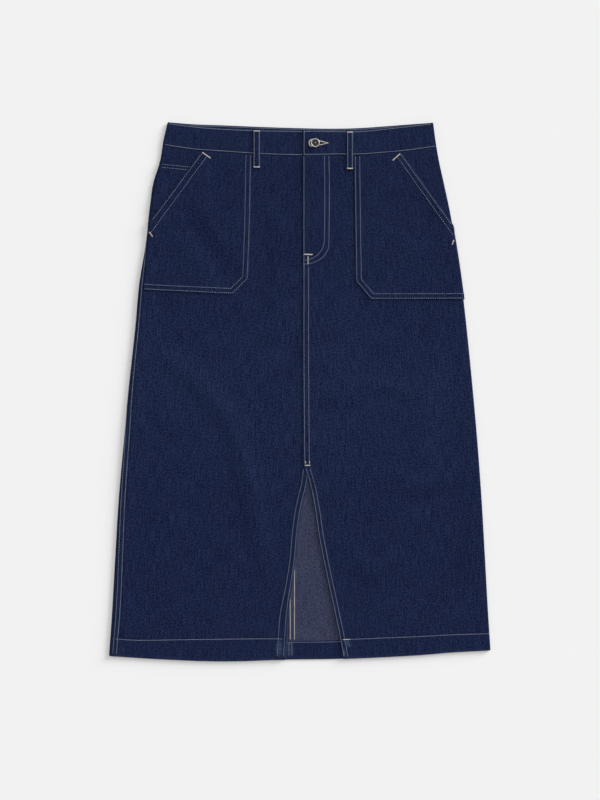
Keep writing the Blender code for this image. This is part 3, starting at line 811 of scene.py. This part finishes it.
right_top = over_patch(front_height, over_coin_pocket, sewn_edge(POCKET_RIGHT))
left_top = over_patch(lapped_height, one_step, sewn_edge(POCKET_LEFT))
coin_top = over_patch(front_height, one_step, sewn_edge(COIN_POCKET, slant=False))
coin_pocket = patch("coin_pocket_patch", -1, COIN_POCKET, (26, 26), one_step, front_height, slant=False)
dress(coin_pocket, "coin_pocket")
pocket_right = patch("patch_pocket_right", -1, POCKET_RIGHT, (84, 58), over_coin_pocket, front_height)
dress(pocket_right, "pocket_right")
pocket_left = patch("patch_pocket_left", 1, POCKET_LEFT, (84, 58), one_step, lapped_height)
dress(pocket_left, "pocket_left")

# ---------------------------------------------------------------------------------------------------------
# Waistband. One doubled strip folded along its top edge, with the panels sewn between its two layers. Its
# left end laps over its right end at the centre front and has the keyhole.

BAND_BACK_LEVEL = BAND / 2
BAND_FRONT_LEVEL = BAND_BACK_LEVEL + BAND + GAP
UNDER_END = 0.042
OVER_FLAT = 0.046
OVER_DOWN = 0.116
BAND_END_Y = 0.385
BUTTON_X, BUTTON_Y = 0.0228, 0.3718
EYE_X, EYE_RADIUS = 0.0190, 0.0048
HOLE_TIP = 0.0412


def band_height(x, y):
    """The over end lies on the under end beside the centre front, and comes down past it."""
    wave = 0.00018 * np.sin(x * 2 * math.pi / 0.021 + np.sin(x * 70))
    wave = wave + 0.00012 * np.sin(x * 2 * math.pi / 0.0093)
    return BAND_FRONT_LEVEL + BAND_LAP * ease((OVER_DOWN - x) / (OVER_DOWN - OVER_FLAT)) + wave


def under_band_height(x, y):
    return BAND_FRONT_LEVEL + 0.00015 * np.sin(x * 2 * math.pi / 0.023) + 0 * y


def band_section():
    """(share of the height, offset from the middle) round the band: outer face, top, inner face, bottom."""
    face = np.concatenate([np.linspace(0.04, 0.16, 5), np.linspace(0.22, 0.78, 8), np.linspace(0.84, 0.96, 5)])
    turn = np.linspace(0, math.pi, 6)[1:-1]
    outer = [(h, 1.0) for h in face]
    top = [(0.97 + 0.03 * math.sin(a), math.cos(a)) for a in turn]
    inner = [(h, -1.0) for h in face[::-1]]
    low = [(0.03 - 0.03 * math.sin(a), -math.cos(a)) for a in turn]
    share, offset = np.array(outer + top + inner + low).T
    groove = 0.10 * bell((share - 0.045) / 0.02) + 0.10 * bell((share - 0.955) / 0.02)
    return share, offset * (1 - groove)


def face_out(mesh, joined=0.0):
    """Turns a closed mesh's faces outwards, after joining points nearer than a distance if one is given."""
    shape = bmesh.new()
    shape.from_mesh(mesh)
    if joined:
        bmesh.ops.remove_doubles(shape, verts=shape.verts, dist=joined)
    bmesh.ops.recalc_face_normals(shape, faces=shape.faces)
    shape.to_mesh(mesh)
    shape.free()


def closed_strip(name, points, wear):
    """A closed piece from rings of points along a strip, (ring, place round it), with its two ends filled."""
    rings, around = points.shape[:2]
    index = np.arange(rings * around).reshape(rings, around)
    turned = np.roll(index, -1, axis=1)
    quads = np.stack([index[:-1], turned[:-1], turned[1:], index[1:]], axis=-1).reshape(-1, 4)
    faces = quads.tolist() + [index[0][::-1].tolist(), index[-1].tolist()]
    mesh = bpy.data.meshes.new(name)
    mesh.from_pydata(points.reshape(-1, 3).tolist(), [], faces)
    along = lengths_along(points[:, 0])
    round_it = lengths_along(points[rings // 2])
    weave = np.stack(np.broadcast_arrays(along[:, None], round_it[None, :]), axis=-1).reshape(-1, 2)
    corners = np.concatenate([np.array(face) for face in faces])
    uv = mesh.uv_layers.new(name="cloth")
    uv.data.foreach_set("uv", weave[corners].astype(np.float32).ravel())
    worn = mesh.attributes.new("wear", "FLOAT", "POINT")
    worn.data.foreach_set("value", np.broadcast_to(wear, (rings, around)).ravel().astype(np.float32))
    face_out(mesh)
    mesh.shade_smooth()
    mesh.materials.append(FACE)
    return put_in_scene(name, mesh)


def band_side(side, y, front_x, surface):
    """Rings of the band from its end on the front, round one side fold, to the middle of the back."""
    share, offset = band_section()
    radius = (BAND_FRONT_LEVEL - BAND_BACK_LEVEL) / 2
    centre = float(outline(side, y) - side * (BAND / 2 + radius))
    quarter = math.pi / 2 * radius
    stops = [quarter + side * (centre - front_x), quarter, -quarter, -(quarter + side * centre)]
    s = np.concatenate([
        np.linspace(stops[0], stops[1], 110)[:-1],
        np.linspace(stops[1], stops[2], 13)[:-1],
        np.linspace(stops[2], stops[3], 80),
    ])

    def line(x, s):
        front_top, back_top = smooth(WAIST, "front_top", x), smooth(WAIST, "back_top", x)
        low = np.where(s > 0, front_low(x), back_low(x))
        return low + share * (np.where(s > 0, front_top, back_top) - low)

    s = s[:, None] + 0 * share
    inset = -offset * BAND / 2 + 0 * s

    def level(y):
        return BAND_FRONT_LEVEL + 0 * y

    return tube(side, s, line, surface, inset, None, BAND_BACK_LEVEL, BAND, level)


def keyhole(grow=0.0):
    """The keyhole's outline in plan: most of a circle round the shank, drawn out to a point."""
    radius, tip = EYE_RADIUS + grow, HOLE_TIP + 1.6 * grow
    eye = math.acos(radius / (tip - EYE_X))
    turns = np.linspace(eye, 2 * math.pi - eye, 25)
    rim = np.stack([EYE_X + radius * np.cos(turns), BUTTON_Y + radius * np.sin(turns)], axis=-1)
    return np.concatenate([rim, [[tip, BUTTON_Y]]])


def cut_keyhole(piece):
    """Cuts the keyhole through the over end only."""
    shape = bmesh.new()
    low = BAND_FRONT_LEVEL + BAND / 2 + GAP
    face = shape.faces.new([shape.verts.new((x, y, low)) for x, y in keyhole()])
    raised = bmesh.ops.extrude_face_region(shape, geom=[face])
    top = [v for v in raised["geom"] if isinstance(v, bmesh.types.BMVert)]
    bmesh.ops.translate(shape, verts=top, vec=(0, 0, 0.02))
    bmesh.ops.recalc_face_normals(shape, faces=shape.faces)
    mesh = bpy.data.meshes.new("keyhole_punch")
    shape.to_mesh(mesh)
    shape.free()
    punch = put_in_scene("keyhole_punch", mesh)
    cut = piece.modifiers.new("keyhole", "BOOLEAN")
    cut.operation = "DIFFERENCE"
    cut.object = punch
    bpy.context.view_layer.update()
    graph = bpy.context.evaluated_depsgraph_get()
    done = bpy.data.meshes.new_from_object(piece.evaluated_get(graph))
    piece.modifiers.clear()
    piece.data = done
    bpy.data.objects.remove(punch)


right_part = band_side(-1, BAND_END_Y, UNDER_END, under_band_height)
left_part = band_side(1, BAND_END_Y, CENTRE_FRONT, band_height)
rings = np.concatenate([right_part, left_part[::-1][1:]])
share = band_section()[0]
top_wear = 0.30 * np.exp(-np.abs(1 - share) / 0.03) + 0 * rings[..., 0]
waistband = closed_strip("waistband_strip", rings, top_wear)
cut_keyhole(waistband)
dress(waistband, "waistband")

# ---------------------------------------------------------------------------------------------------------
# Belt loops. Strips folded in three, stitched along both edges, and tacked over the band and just below it.

Loop = namedtuple("Loop", "node low_x high_x low_y high_y")
LOOPS = [
    Loop("belt_loop_right", -0.0703, -0.0594, 0.3340, 0.3925),
    Loop("belt_loop_left", 0.0697, 0.0798, 0.3318, 0.3906),
]
LOOP_THICK = 0.0020


def loop_height(belt, x, y):
    """The loop's underside: just over the band, then down on the panel below it."""
    left = belt.low_x > 0
    band = (band_height if left else under_band_height)(x, y) + BAND / 2
    panel = (lapped_height if left else front_height)(x, y) + DENIM / 2
    drop = ease((front_low(x) - y) / 0.012)
    return np.maximum(band + (panel - band) * drop, panel) + GAP


def loop_hump(wide):
    """The loop is thickest along its middle, where its folds overlap."""
    return 0.00035 * bell(wide / 0.5)


def loop_top(belt, x, y):
    """The loop's upper face."""
    wide = (2 * x - belt.low_x - belt.high_x) / (belt.high_x - belt.low_x)
    return loop_height(belt, x, y) + LOOP_THICK + loop_hump(wide)


def over_loop(belt):
    return lambda x, y: loop_top(belt, x, y)


for belt in LOOPS:
    turn = np.linspace(0, 2 * math.pi, 29)[:-1]
    wide = np.sign(np.cos(turn)) * np.abs(np.cos(turn)) ** 0.45
    tall = np.sign(np.sin(turn)) * np.abs(np.sin(turn)) ** 0.55
    y = dense_ends(40, 3, 0.012) * (belt.high_y - belt.low_y) + belt.low_y
    x = (belt.low_x + belt.high_x) / 2 + (belt.high_x - belt.low_x) / 2 * wide + 0 * y[:, None]
    ends = 1 - 0.35 * np.exp(-np.minimum(y - belt.low_y, belt.high_y - y) / 0.0008)[:, None]
    y = y[:, None] + 0 * x
    z = loop_height(belt, x, y) + LOOP_THICK / 2 * (1 + tall * ends) + loop_hump(wide) * (tall > 0)
    strip = np.stack([x, y, z], axis=-1)
    piece = closed_strip(belt.node + "_strip", strip, 0.25 * np.abs(wide) ** 6 + 0 * x)
    dress(piece, belt.node)

# ---------------------------------------------------------------------------------------------------------
# Button. A turned shank button of dull white metal: a rounded rim round a sunk, darkened dish with a boss.

BUTTON_SEAT = BAND_FRONT_LEVEL + BAND_LAP + BAND / 2 + GAP
BUTTON_FOOT = BAND_FRONT_LEVEL + BAND / 2 + GAP


def turned(name, profile, x, y, around=72):
    """A closed turned piece: the profile of (radius, height) carried round its axis at (x, y)."""
    angle = np.linspace(0, 2 * math.pi, around + 1)[:-1]
    radius, z = np.array(profile).T
    across, along = x + radius[:, None] * np.cos(angle), y + radius[:, None] * np.sin(angle)
    points = np.stack([across, along, z[:, None] + 0 * angle], axis=-1)
    index = np.arange(points.shape[0] * around).reshape(-1, around)
    nexts = np.roll(index, -1, axis=1)
    quads = np.stack([index[:-1], index[1:], nexts[1:], nexts[:-1]], axis=-1).reshape(-1, 4)
    mesh = bpy.data.meshes.new(name)
    mesh.from_pydata(points.reshape(-1, 3).tolist(), [], quads.tolist())
    face_out(mesh, joined=1e-6)
    mesh.shade_smooth()
    return put_in_scene(name, mesh)


def button_profile():
    """Radius and height from the middle of the face out to the rim, down it and along the shank."""
    boss = [(0, 0.0027), (0.0008, 0.0026), (0.0013, 0.0022), (0.0016, 0.0015)]
    dish = [(0.0024, 0.0012), (0.0040, 0.0012), (0.0047, 0.0015), (0.0050, 0.0022)]
    rim = [(0.0053, 0.0028), (0.0058, 0.0031), (0.0063, 0.0029), (0.0067, 0.0023)]
    side = [(0.0070, 0.0014), (0.0067, 0.0006)]
    under = [(0.0061, 0.0001), (0.0030, 0.0)]
    top = [(r, BUTTON_SEAT + h) for r, h in boss + dish + rim + side + under]
    return top + [(0.0028, BUTTON_FOOT), (0, BUTTON_FOOT)]


def worn_metal(name):
    """Dull white metal: bright on the rim, darkened in the sunk face, with fine scratches."""
    material, tree, shader = new_material(name)
    place = node(tree, "ShaderNodeTexCoord").outputs["Object"]
    high = node(tree, "ShaderNodeSeparateXYZ", {0: place}).outputs["Z"]
    heights = {0: high, 1: BUTTON_SEAT + 0.0022, 2: BUTTON_SEAT + 0.0032}
    sunk = node(tree, "ShaderNodeMapRange", heights).outputs[0]
    grain = node(tree, "ShaderNodeTexNoise", {"Vector": place, "Scale": 1400.0, "Detail": 3.0}).outputs["Fac"]
    bright = maths(tree, "MULTIPLY", sunk, maths(tree, "ADD", 0.65, maths(tree, "MULTIPLY", grain, 0.6)))
    shades = {0: bright, 6: (0.035, 0.033, 0.035, 1), 7: (0.62, 0.60, 0.56, 1)}
    colour = node(tree, "ShaderNodeMix", shades, data_type="RGBA").outputs[2]
    rough = maths(tree, "ADD", 0.28, maths(tree, "MULTIPLY", grain, 0.25))
    fill(tree, shader, {"Base Color": colour, "Metallic": 1.0, "Roughness": rough})
    return material


button = turned("shank_button", button_profile(), BUTTON_X, BUTTON_Y)
button.data.materials.append(worn_metal("button_metal_worn"))
dress(button, "button", slot="button_metal")

# ---------------------------------------------------------------------------------------------------------
# Stitching. Grey-blue topstitching in pairs of rows along the seams, cream bar tacks where they take strain,
# cream chain stitch inside the centre back and cream buttonhole cord. Each stitch is a short rounded thread.

Row = namedtuple("Row", "points normals")
PITCH = 0.0030
LONG_PITCH = 0.0031
POCKET_PITCH = 0.00336
CHAIN_PITCH = 0.0028
STITCH = 0.0019
LONG_STITCH = 0.0025
POCKET_STITCH = 0.0020
CHAIN_STITCH = 0.0024
CHAIN_THREAD = 0.0011
THREAD = 0.00060


def thread_material(name, colour):
    """Matt spun thread, with its twist as fine shade and bump."""
    material, tree, shader = new_material(name)
    place = node(tree, "ShaderNodeTexCoord").outputs["Object"]
    fuzz = node(tree, "ShaderNodeTexNoise", {"Vector": place, "Scale": 2600.0, "Detail": 2.0}).outputs["Fac"]
    tone = node(tree, "ShaderNodeTexNoise", {"Vector": place, "Scale": 90.0, "Detail": 2.0}).outputs["Fac"]
    shade = maths(tree, "ADD", maths(tree, "MULTIPLY", fuzz, 0.7), maths(tree, "MULTIPLY", tone, 0.8))
    shade = maths(tree, "ADD", shade, 0.25)
    spun = tinted(tree, colour, (shade, shade, shade))
    bump = node(tree, "ShaderNodeBump", {"Strength": 0.4, "Distance": 0.0001, "Height": fuzz}).outputs[0]
    fill(tree, shader, {"Base Color": spun, "Normal": bump, "Roughness": 0.75, "Specular IOR Level": 0.25})
    return material


TOPSTITCH = thread_material("topstitch_thread", (0.31, 0.345, 0.42, 1))
CREAM = thread_material("cream_thread", (0.58, 0.53, 0.44, 1))


def unit(vectors):
    return vectors / np.linalg.norm(vectors, axis=-1, keepdims=True)


def threads(name, starts, ends, ups, thickness, material):
    """Joined short threads, each four rings of five points, high in the middle with its ends sunk."""
    run = ends - starts
    length = np.linalg.norm(run, axis=-1, keepdims=True)
    run = run / length
    across = unit(np.cross(ups, run))
    up = np.cross(run, across)
    share = np.array([0, 0.26, 0.74, 1.0])[:, None]
    height = np.array([-0.50, 0.30, 0.30, -0.50])[:, None] * thickness
    radius = np.array([0.55, 1.0, 1.0, 0.55])[:, None] * thickness / 2
    turn = np.arange(5) * 2 * math.pi / 5 + math.pi / 2
    centre = starts[:, None, None] + run[:, None, None] * length[:, None, None] * share[..., None]
    centre = centre + up[:, None, None] * height[..., None]
    ring = across[:, None, None] * (radius * np.cos(turn))[..., None]
    ring = ring + up[:, None, None] * (radius * np.sin(turn))[..., None]
    points = centre + ring
    one = np.arange(20).reshape(4, 5)
    nexts = np.roll(one, -1, axis=1)
    quads = np.stack([one[:-1], nexts[:-1], nexts[1:], one[1:]], axis=-1).reshape(-1, 4)
    base = (np.arange(len(starts)) * 20)[:, None, None]
    sides = (quads + base).reshape(-1, 4).tolist()
    caps = np.stack([one[0][::-1], one[-1]])
    mesh = bpy.data.meshes.new(name)
    mesh.from_pydata(points.reshape(-1, 3).tolist(), [], sides + (caps + base).reshape(-1, 5).tolist())
    mesh.shade_smooth()
    mesh.materials.append(material)
    dress(put_in_scene(name, mesh))


def running(rows, seed, pitch=PITCH, length=STITCH):
    """Starts, ends and ups of the running stitches of some rows, evenly spaced with a little unevenness."""
    chance = np.random.default_rng(seed)
    starts, ends, ups = [], [], []
    for row in rows:
        reach = lengths_along(row.points)
        count = max(int(reach[-1] / pitch), 1)
        middle = (np.arange(count) + 0.5) * reach[-1] / count + chance.normal(0, 0.00006, count)
        half = length / 2 * (1 + chance.normal(0, 0.03, count))

        def at(place, of):
            return np.stack([np.interp(place, reach, of[:, axis]) for axis in range(3)], axis=-1)

        normal = unit(at(middle, row.normals))
        way = at(middle + half, row.points) - at(middle - half, row.points)
        sway = np.cross(normal, way) * chance.normal(0, 0.018, count)[:, None]
        starts.append(at(middle - half, row.points) - sway)
        ends.append(at(middle + half, row.points) + sway)
        ups.append(normal)
    return np.concatenate(starts), np.concatenate(ends), np.concatenate(ups)


def laid_row(corners, height, wall=DENIM, out=None, step=0.0015):
    """A row on an upward surface: straight runs between plan corners, at the surface's height."""
    corners = np.array(corners, float)
    reach = lengths_along(corners)
    at = np.linspace(0, reach[-1], max(int(reach[-1] / step), 4))
    x, y = np.interp(at, reach, corners[:, 0]), np.interp(at, reach, corners[:, 1])
    z = height(x, y) + wall / 2
    if out:
        z = z + out(np.ones_like(x), x, y)
    slope_x = (height(x + 0.001, y) - height(x - 0.001, y)) / 0.002
    slope_y = (height(x, y + 0.001) - height(x, y - 0.001)) / 0.002
    normals = np.stack([-slope_x, -slope_y, np.ones_like(x)], axis=-1)
    return Row(np.stack([x, y, z], axis=-1), normals)


def offset_line(corners, distance):
    """A bent line moved to its right by a distance, with its corners mitred."""
    corners = np.array(corners, float)
    runs = unit(np.diff(corners, axis=0))
    normals = np.stack([runs[:, 1], -runs[:, 0]], axis=-1)
    joined = np.concatenate([normals[:1], (normals[:-1] + normals[1:]) / 2, normals[-1:]])
    scale = np.sum(joined * joined, axis=-1, keepdims=True)
    return corners + distance * joined / scale


def plan(x, y):
    return np.stack([x, y], axis=-1)


panel_rows_sewn = []
# Centre front and fly: the lapped edge, its second row below the fly, and the fly's double curve
for shift, top in ((0.0014, 0.3520), (0.0082, FLY_FOOT - 0.004)):
    x = CENTRE_FRONT + shift
    corners = [(x, top), (x, 0.05), (x + 0.0012, SLIT_TOP)]
    panel_rows_sewn.append(laid_row(corners, lapped_height, out=left_front_out))
for width, foot in ((0.0388, 0.1905), (0.0320, 0.1965)):
    turn = np.linspace(0, math.pi / 2, 12)
    straight = [(CENTRE_FRONT + width, 0.3522), (CENTRE_FRONT + width + 0.0008, 0.300)]
    bend = [(CENTRE_FRONT + width * math.cos(a), foot + 0.030 - 0.030 * math.sin(a)) for a in turn]
    panel_rows_sewn.append(laid_row(straight + bend, lapped_height, out=left_front_out))
# Slit edges and hem
hem_rows = []
ys = np.linspace(SLIT_TOP - 0.006, -0.397, 60)
for side, height, out in ((-1, front_height, right_front_out), (1, lapped_height, left_front_out)):
    edge = smooth(SLIT, "left" if side > 0 else "right", ys)
    for inset in (0.0015, 0.0072) if side > 0 else (0.0024, 0.0088):
        x = edge + side * inset * slit_spread(side, ys)
        panel_rows_sewn.append(laid_row(plan(x, ys), height, out=out))
for low_x, high_x, height, out in (
    (-0.272, -0.0270, front_height, right_front_out),
    (0.0650, 0.2838, lapped_height, left_front_out),
):
    x = np.linspace(low_x, high_x, 90)
    hem_rows.append(laid_row(plan(x, hem_row(x)), height, out=out))
across_fell = np.linspace(0.0035, 0.0125, 8)[None, :]


def fell_line(x, s):
    return hem_row(x)


middle = tube(-1, across_fell, fell_line, back_front, 0.0, back_out)[0]
outer = tube(-1, across_fell, fell_line, back_front, -DENIM / 2, back_out)[0]
hem_rows.append(Row(outer, outer - middle))
# Right side seam, on the back panel's felled edge, as far up as it lies in front of the fold
seam_share = np.linspace(0.004, 0.985, 520)[:, None]


def seam_line(x, s):
    low = hem(x) + DENIM / 2 + HEM_FOLD
    return low + seam_share * (np.where(s > 0, front_low(x), back_low(x)) - low)


seam_y = seam_line(np.full((520, 1), -0.26), np.ones((520, 1)))
for shift in (0.0015, 0.0071):
    seam_s = right_seam(seam_y) - shift
    middle = tube(-1, seam_s, seam_line, back_front, 0.0, back_out)[:, 0]
    outer = tube(-1, seam_s, seam_line, back_front, -DENIM / 2, back_out)[:, 0]
    in_front = seam_s[:, 0] > 0
    panel_rows_sewn.append(Row(outer[in_front], (outer - middle)[in_front]))
threads("hem_topstitching", *running(hem_rows, 16, LONG_PITCH, LONG_STITCH), THREAD, TOPSTITCH)
threads("panel_topstitching", *running(panel_rows_sewn, 11), THREAD, TOPSTITCH)

RIGHT_SLANTS = [[(-0.1467, 0.3563), (-0.2205, 0.2567)], [(-0.1398, 0.3518), (-0.2232, 0.2377)]]
LEFT_SLANTS = [[(0.1506, 0.3550), (0.2262, 0.2505)], [(0.1464, 0.3499), (0.2290, 0.2341)]]
pocket_rows = []
for lines, top, way, slants in (
    (POCKET_RIGHT, right_top, 1, RIGHT_SLANTS),
    (POCKET_LEFT, left_top, -1, LEFT_SLANTS),
):
    inner_edge = sewn_edge(lines)[1]
    for corners in slants + [offset_line(inner_edge, way * inset) for inset in (0.0016, 0.0083)]:
        pocket_rows.append(laid_row(corners, top))
for drop in (0.0022, 0.0068):
    pocket_rows.append(laid_row([(-0.2075, 0.3425 - drop), (-0.1600, 0.3378 - drop)], coin_top))
pocket_stitches = running(pocket_rows, 12, POCKET_PITCH, POCKET_STITCH)
threads("pocket_topstitching", *pocket_stitches, THREAD, TOPSTITCH)

band_rows = []
for start, end, height in ((-1, 0.0035, under_band_height), (1, 0.0058, band_height)):
    for column, shift, reach in (("front_top", -0.0022, 0.1962), ("front_low", 0.0017, 0.2022)):
        x = np.linspace(end, start * reach, 120)
        y = smooth(WAIST, column, x) + shift
        band_rows.append(laid_row(plan(x, y), height, BAND - 0.0001))
x = np.full(14, CENTRE_FRONT + 0.0016)
band_rows.append(laid_row(plan(x, np.linspace(0.3545, 0.3892, 14)), band_height, BAND))
x = np.linspace(-0.192, 0.192, 200)
y = smooth(WAIST, "back_top", x) - 0.0021


def inner_band_height(x, y):
    return BAND_BACK_LEVEL + 0 * x


band_rows.append(laid_row(plan(x, y), inner_band_height, BAND - 0.0001))
for belt in LOOPS:
    for x in (belt.low_x + 0.0016, belt.high_x - 0.0016):
        band_rows.append(laid_row([(x, belt.low_y + 0.002), (x, belt.high_y - 0.002)], over_loop(belt), 0.0))
band_stitches = running(band_rows, 13, LONG_PITCH, LONG_STITCH)
threads("waistband_topstitching", *band_stitches, THREAD, TOPSTITCH)

# Cream chain stitch inside the centre back, and grey-blue topstitching along the back's turned hem, seen
# through the slit
UPWARD = [0.0, 0.0, 1.0]


def flat_row(x, y, z):
    """A row that faces up, from numbers or arrays for its x, y and z."""
    points = np.stack(np.broadcast_arrays(x, y, z), axis=-1)
    return Row(points, np.tile(UPWARD, (len(points), 1)))


inner_rows = []
y = np.linspace(-0.3720, -0.1500, 150)
for x in (CENTRE_BACK - 0.0030, CENTRE_BACK + 0.0034):
    inner_rows.append(flat_row(x, y, BACK_LEVEL + DENIM / 2 + FELL_RISE - 0.0001))
chain = running(inner_rows, 14, CHAIN_PITCH, CHAIN_STITCH)
threads("centre_back_chain_stitch", *chain, CHAIN_THREAD, CREAM)
x = np.linspace(-0.0260, 0.0640, 40)
hem_top = BACK_LEVEL + STEP + DENIM / 2
inner_hem_rows = [flat_row(x, hem(x) + HEM_DEPTH - 0.0022, hem_top)]
for x in (CENTRE_BACK - 0.0047, CENTRE_BACK - 0.0003):
    inner_hem_rows.append(flat_row(x, np.linspace(-0.3960, -0.3760, 16), hem_top))
threads("inner_hem_stitching", *running(inner_hem_rows, 15), THREAD, TOPSTITCH)


def tack(start, end, height, wall=DENIM, width=0.0019, out=None):
    """A bar tack: close threads laid across a short line."""
    row = laid_row([start, end], height, wall, out)
    starts, ends, ups = running([row], 21, 0.00046, 0.0004)
    way = unit(ends - starts)
    across = np.cross(ups, way) * width / 2
    middle = (starts + ends) / 2
    lean = way * 0.00022
    return middle - across - lean, middle + across + lean, ups


tacks = [
    tack((-0.1463, 0.3578), (-0.1338, 0.3492), right_top),
    tack((-0.2258, 0.2388), (-0.2207, 0.2318), right_top),
    tack((0.1500, 0.3560), (0.1388, 0.3458), left_top),
    tack((0.2302, 0.2268), (0.2279, 0.2198), left_top),
    tack((0.0056, 0.2055), (0.0190, 0.2050), lapped_height, out=left_front_out),
    tack((0.0120, 0.2025), (0.0120, 0.1905), lapped_height, width=0.0014, out=left_front_out),
    tack((0.0075, -0.1108), (0.0155, -0.1108), lapped_height, width=0.0015, out=left_front_out),
    tack((0.0084, -0.1042), (0.0084, -0.1076), lapped_height, width=0.0013, out=left_front_out),
    tack((0.0141, -0.1042), (0.0141, -0.1076), lapped_height, width=0.0013, out=left_front_out),
    tack((0.0641, -0.3716), (0.0753, -0.3714), lapped_height, width=0.0011, out=left_front_out),
]
for belt in LOOPS:
    for y in (belt.low_y + 0.0020, belt.high_y - 0.0028):
        tacks.append(tack((belt.low_x + 0.0008, y), (belt.high_x - 0.0008, y), over_loop(belt), 0.0))
threads("bar_tacks", *[np.concatenate(part) for part in zip(*tacks)], 0.00042, CREAM)

# Buttonhole cord: close stitches over the keyhole's edge, from just inside the hole to the band's face
inner, outer = keyhole(-0.0004), keyhole(0.0013)
loop_in = np.concatenate([inner, inner[:1]])
loop_out = np.concatenate([outer, outer[:1]])
reach = lengths_along(loop_out)
at = np.arange(0, reach[-1], 0.00040)
face = BAND_FRONT_LEVEL + BAND_LAP + BAND / 2


def round_keyhole(corners, height):
    """Points along a keyhole outline at the same share of its way round, at a height."""
    plan = [np.interp(at, reach, corners[:, axis]) for axis in range(2)]
    return np.stack([plan[0], plan[1], np.full(len(at), height)], axis=-1)


cord_starts, cord_ends = round_keyhole(loop_in, face - 0.0003), round_keyhole(loop_out, face + 0.0001)
ups = np.tile(UPWARD, (len(at), 1))
threads("buttonhole_cord", cord_starts, cord_ends, ups, 0.00052, CREAM)

# ---------------------------------------------------------------------------------------------------------
# The pale surface that it lies on, the camera straight above, and the studio light: a strong soft sun low on
# the upper right, a weaker one nearly overhead and an even surround, so that the surface is evenly lit.

VIEW_HEIGHT = 3.0
VIEW_Y = -0.0128

floor_mesh = bpy.data.meshes.new("floor")
reach, low = 60.0, -0.0003
corners = [(-reach, -reach, low), (reach, -reach, low), (reach, reach, low), (-reach, reach, low)]
floor_mesh.from_pydata(corners, [], [(0, 1, 2, 3)])
floor = put_in_scene("floor", floor_mesh)
paper, tree, shader = new_material("floor_paper")
place = node(tree, "ShaderNodeTexCoord").outputs["Object"]
grain = node(tree, "ShaderNodeTexNoise", {"Vector": place, "Scale": 40.0})
ends = {6: (0.800, 0.800, 0.800, 1), 7: (0.802, 0.802, 0.802, 1)}
tint = node(tree, "ShaderNodeMix", {0: grain.outputs["Fac"], **ends}, data_type="RGBA")
fill(tree, shader, {"Base Color": tint.outputs[2], "Roughness": 0.95, "Specular IOR Level": 0.1})
floor_mesh.materials.append(paper)

camera = put_in_scene("camera", bpy.data.cameras.new("camera"))
camera.location = (0, VIEW_Y, VIEW_HEIGHT)
camera.data.sensor_width = 36
camera.data.lens = 30 * VIEW_HEIGHT
camera.data.clip_end = 30
bpy.context.scene.camera = camera

Soft = namedtuple("Soft", "name azimuth elevation spread strength")
for light in (Soft("key", 36, 20, 30, 3.42), Soft("overhead", 60, 78, 34, 1.41)):
    lamp = bpy.data.lights.new(light.name, "SUN")
    lamp.angle = math.radians(light.spread)
    lamp.energy = light.strength
    source = put_in_scene(light.name, lamp)
    source.rotation_euler = (math.radians(90 - light.elevation), 0, math.radians(light.azimuth + 90))
world = bpy.data.worlds.new("surround")
world.use_nodes = True
world.node_tree.nodes["Background"].inputs["Color"].default_value = (1.0, 0.995, 0.99, 1)
world.node_tree.nodes["Background"].inputs["Strength"].default_value = 0.300
bpy.context.scene.world = world
bpy.context.scene.view_settings.view_transform = "Standard"
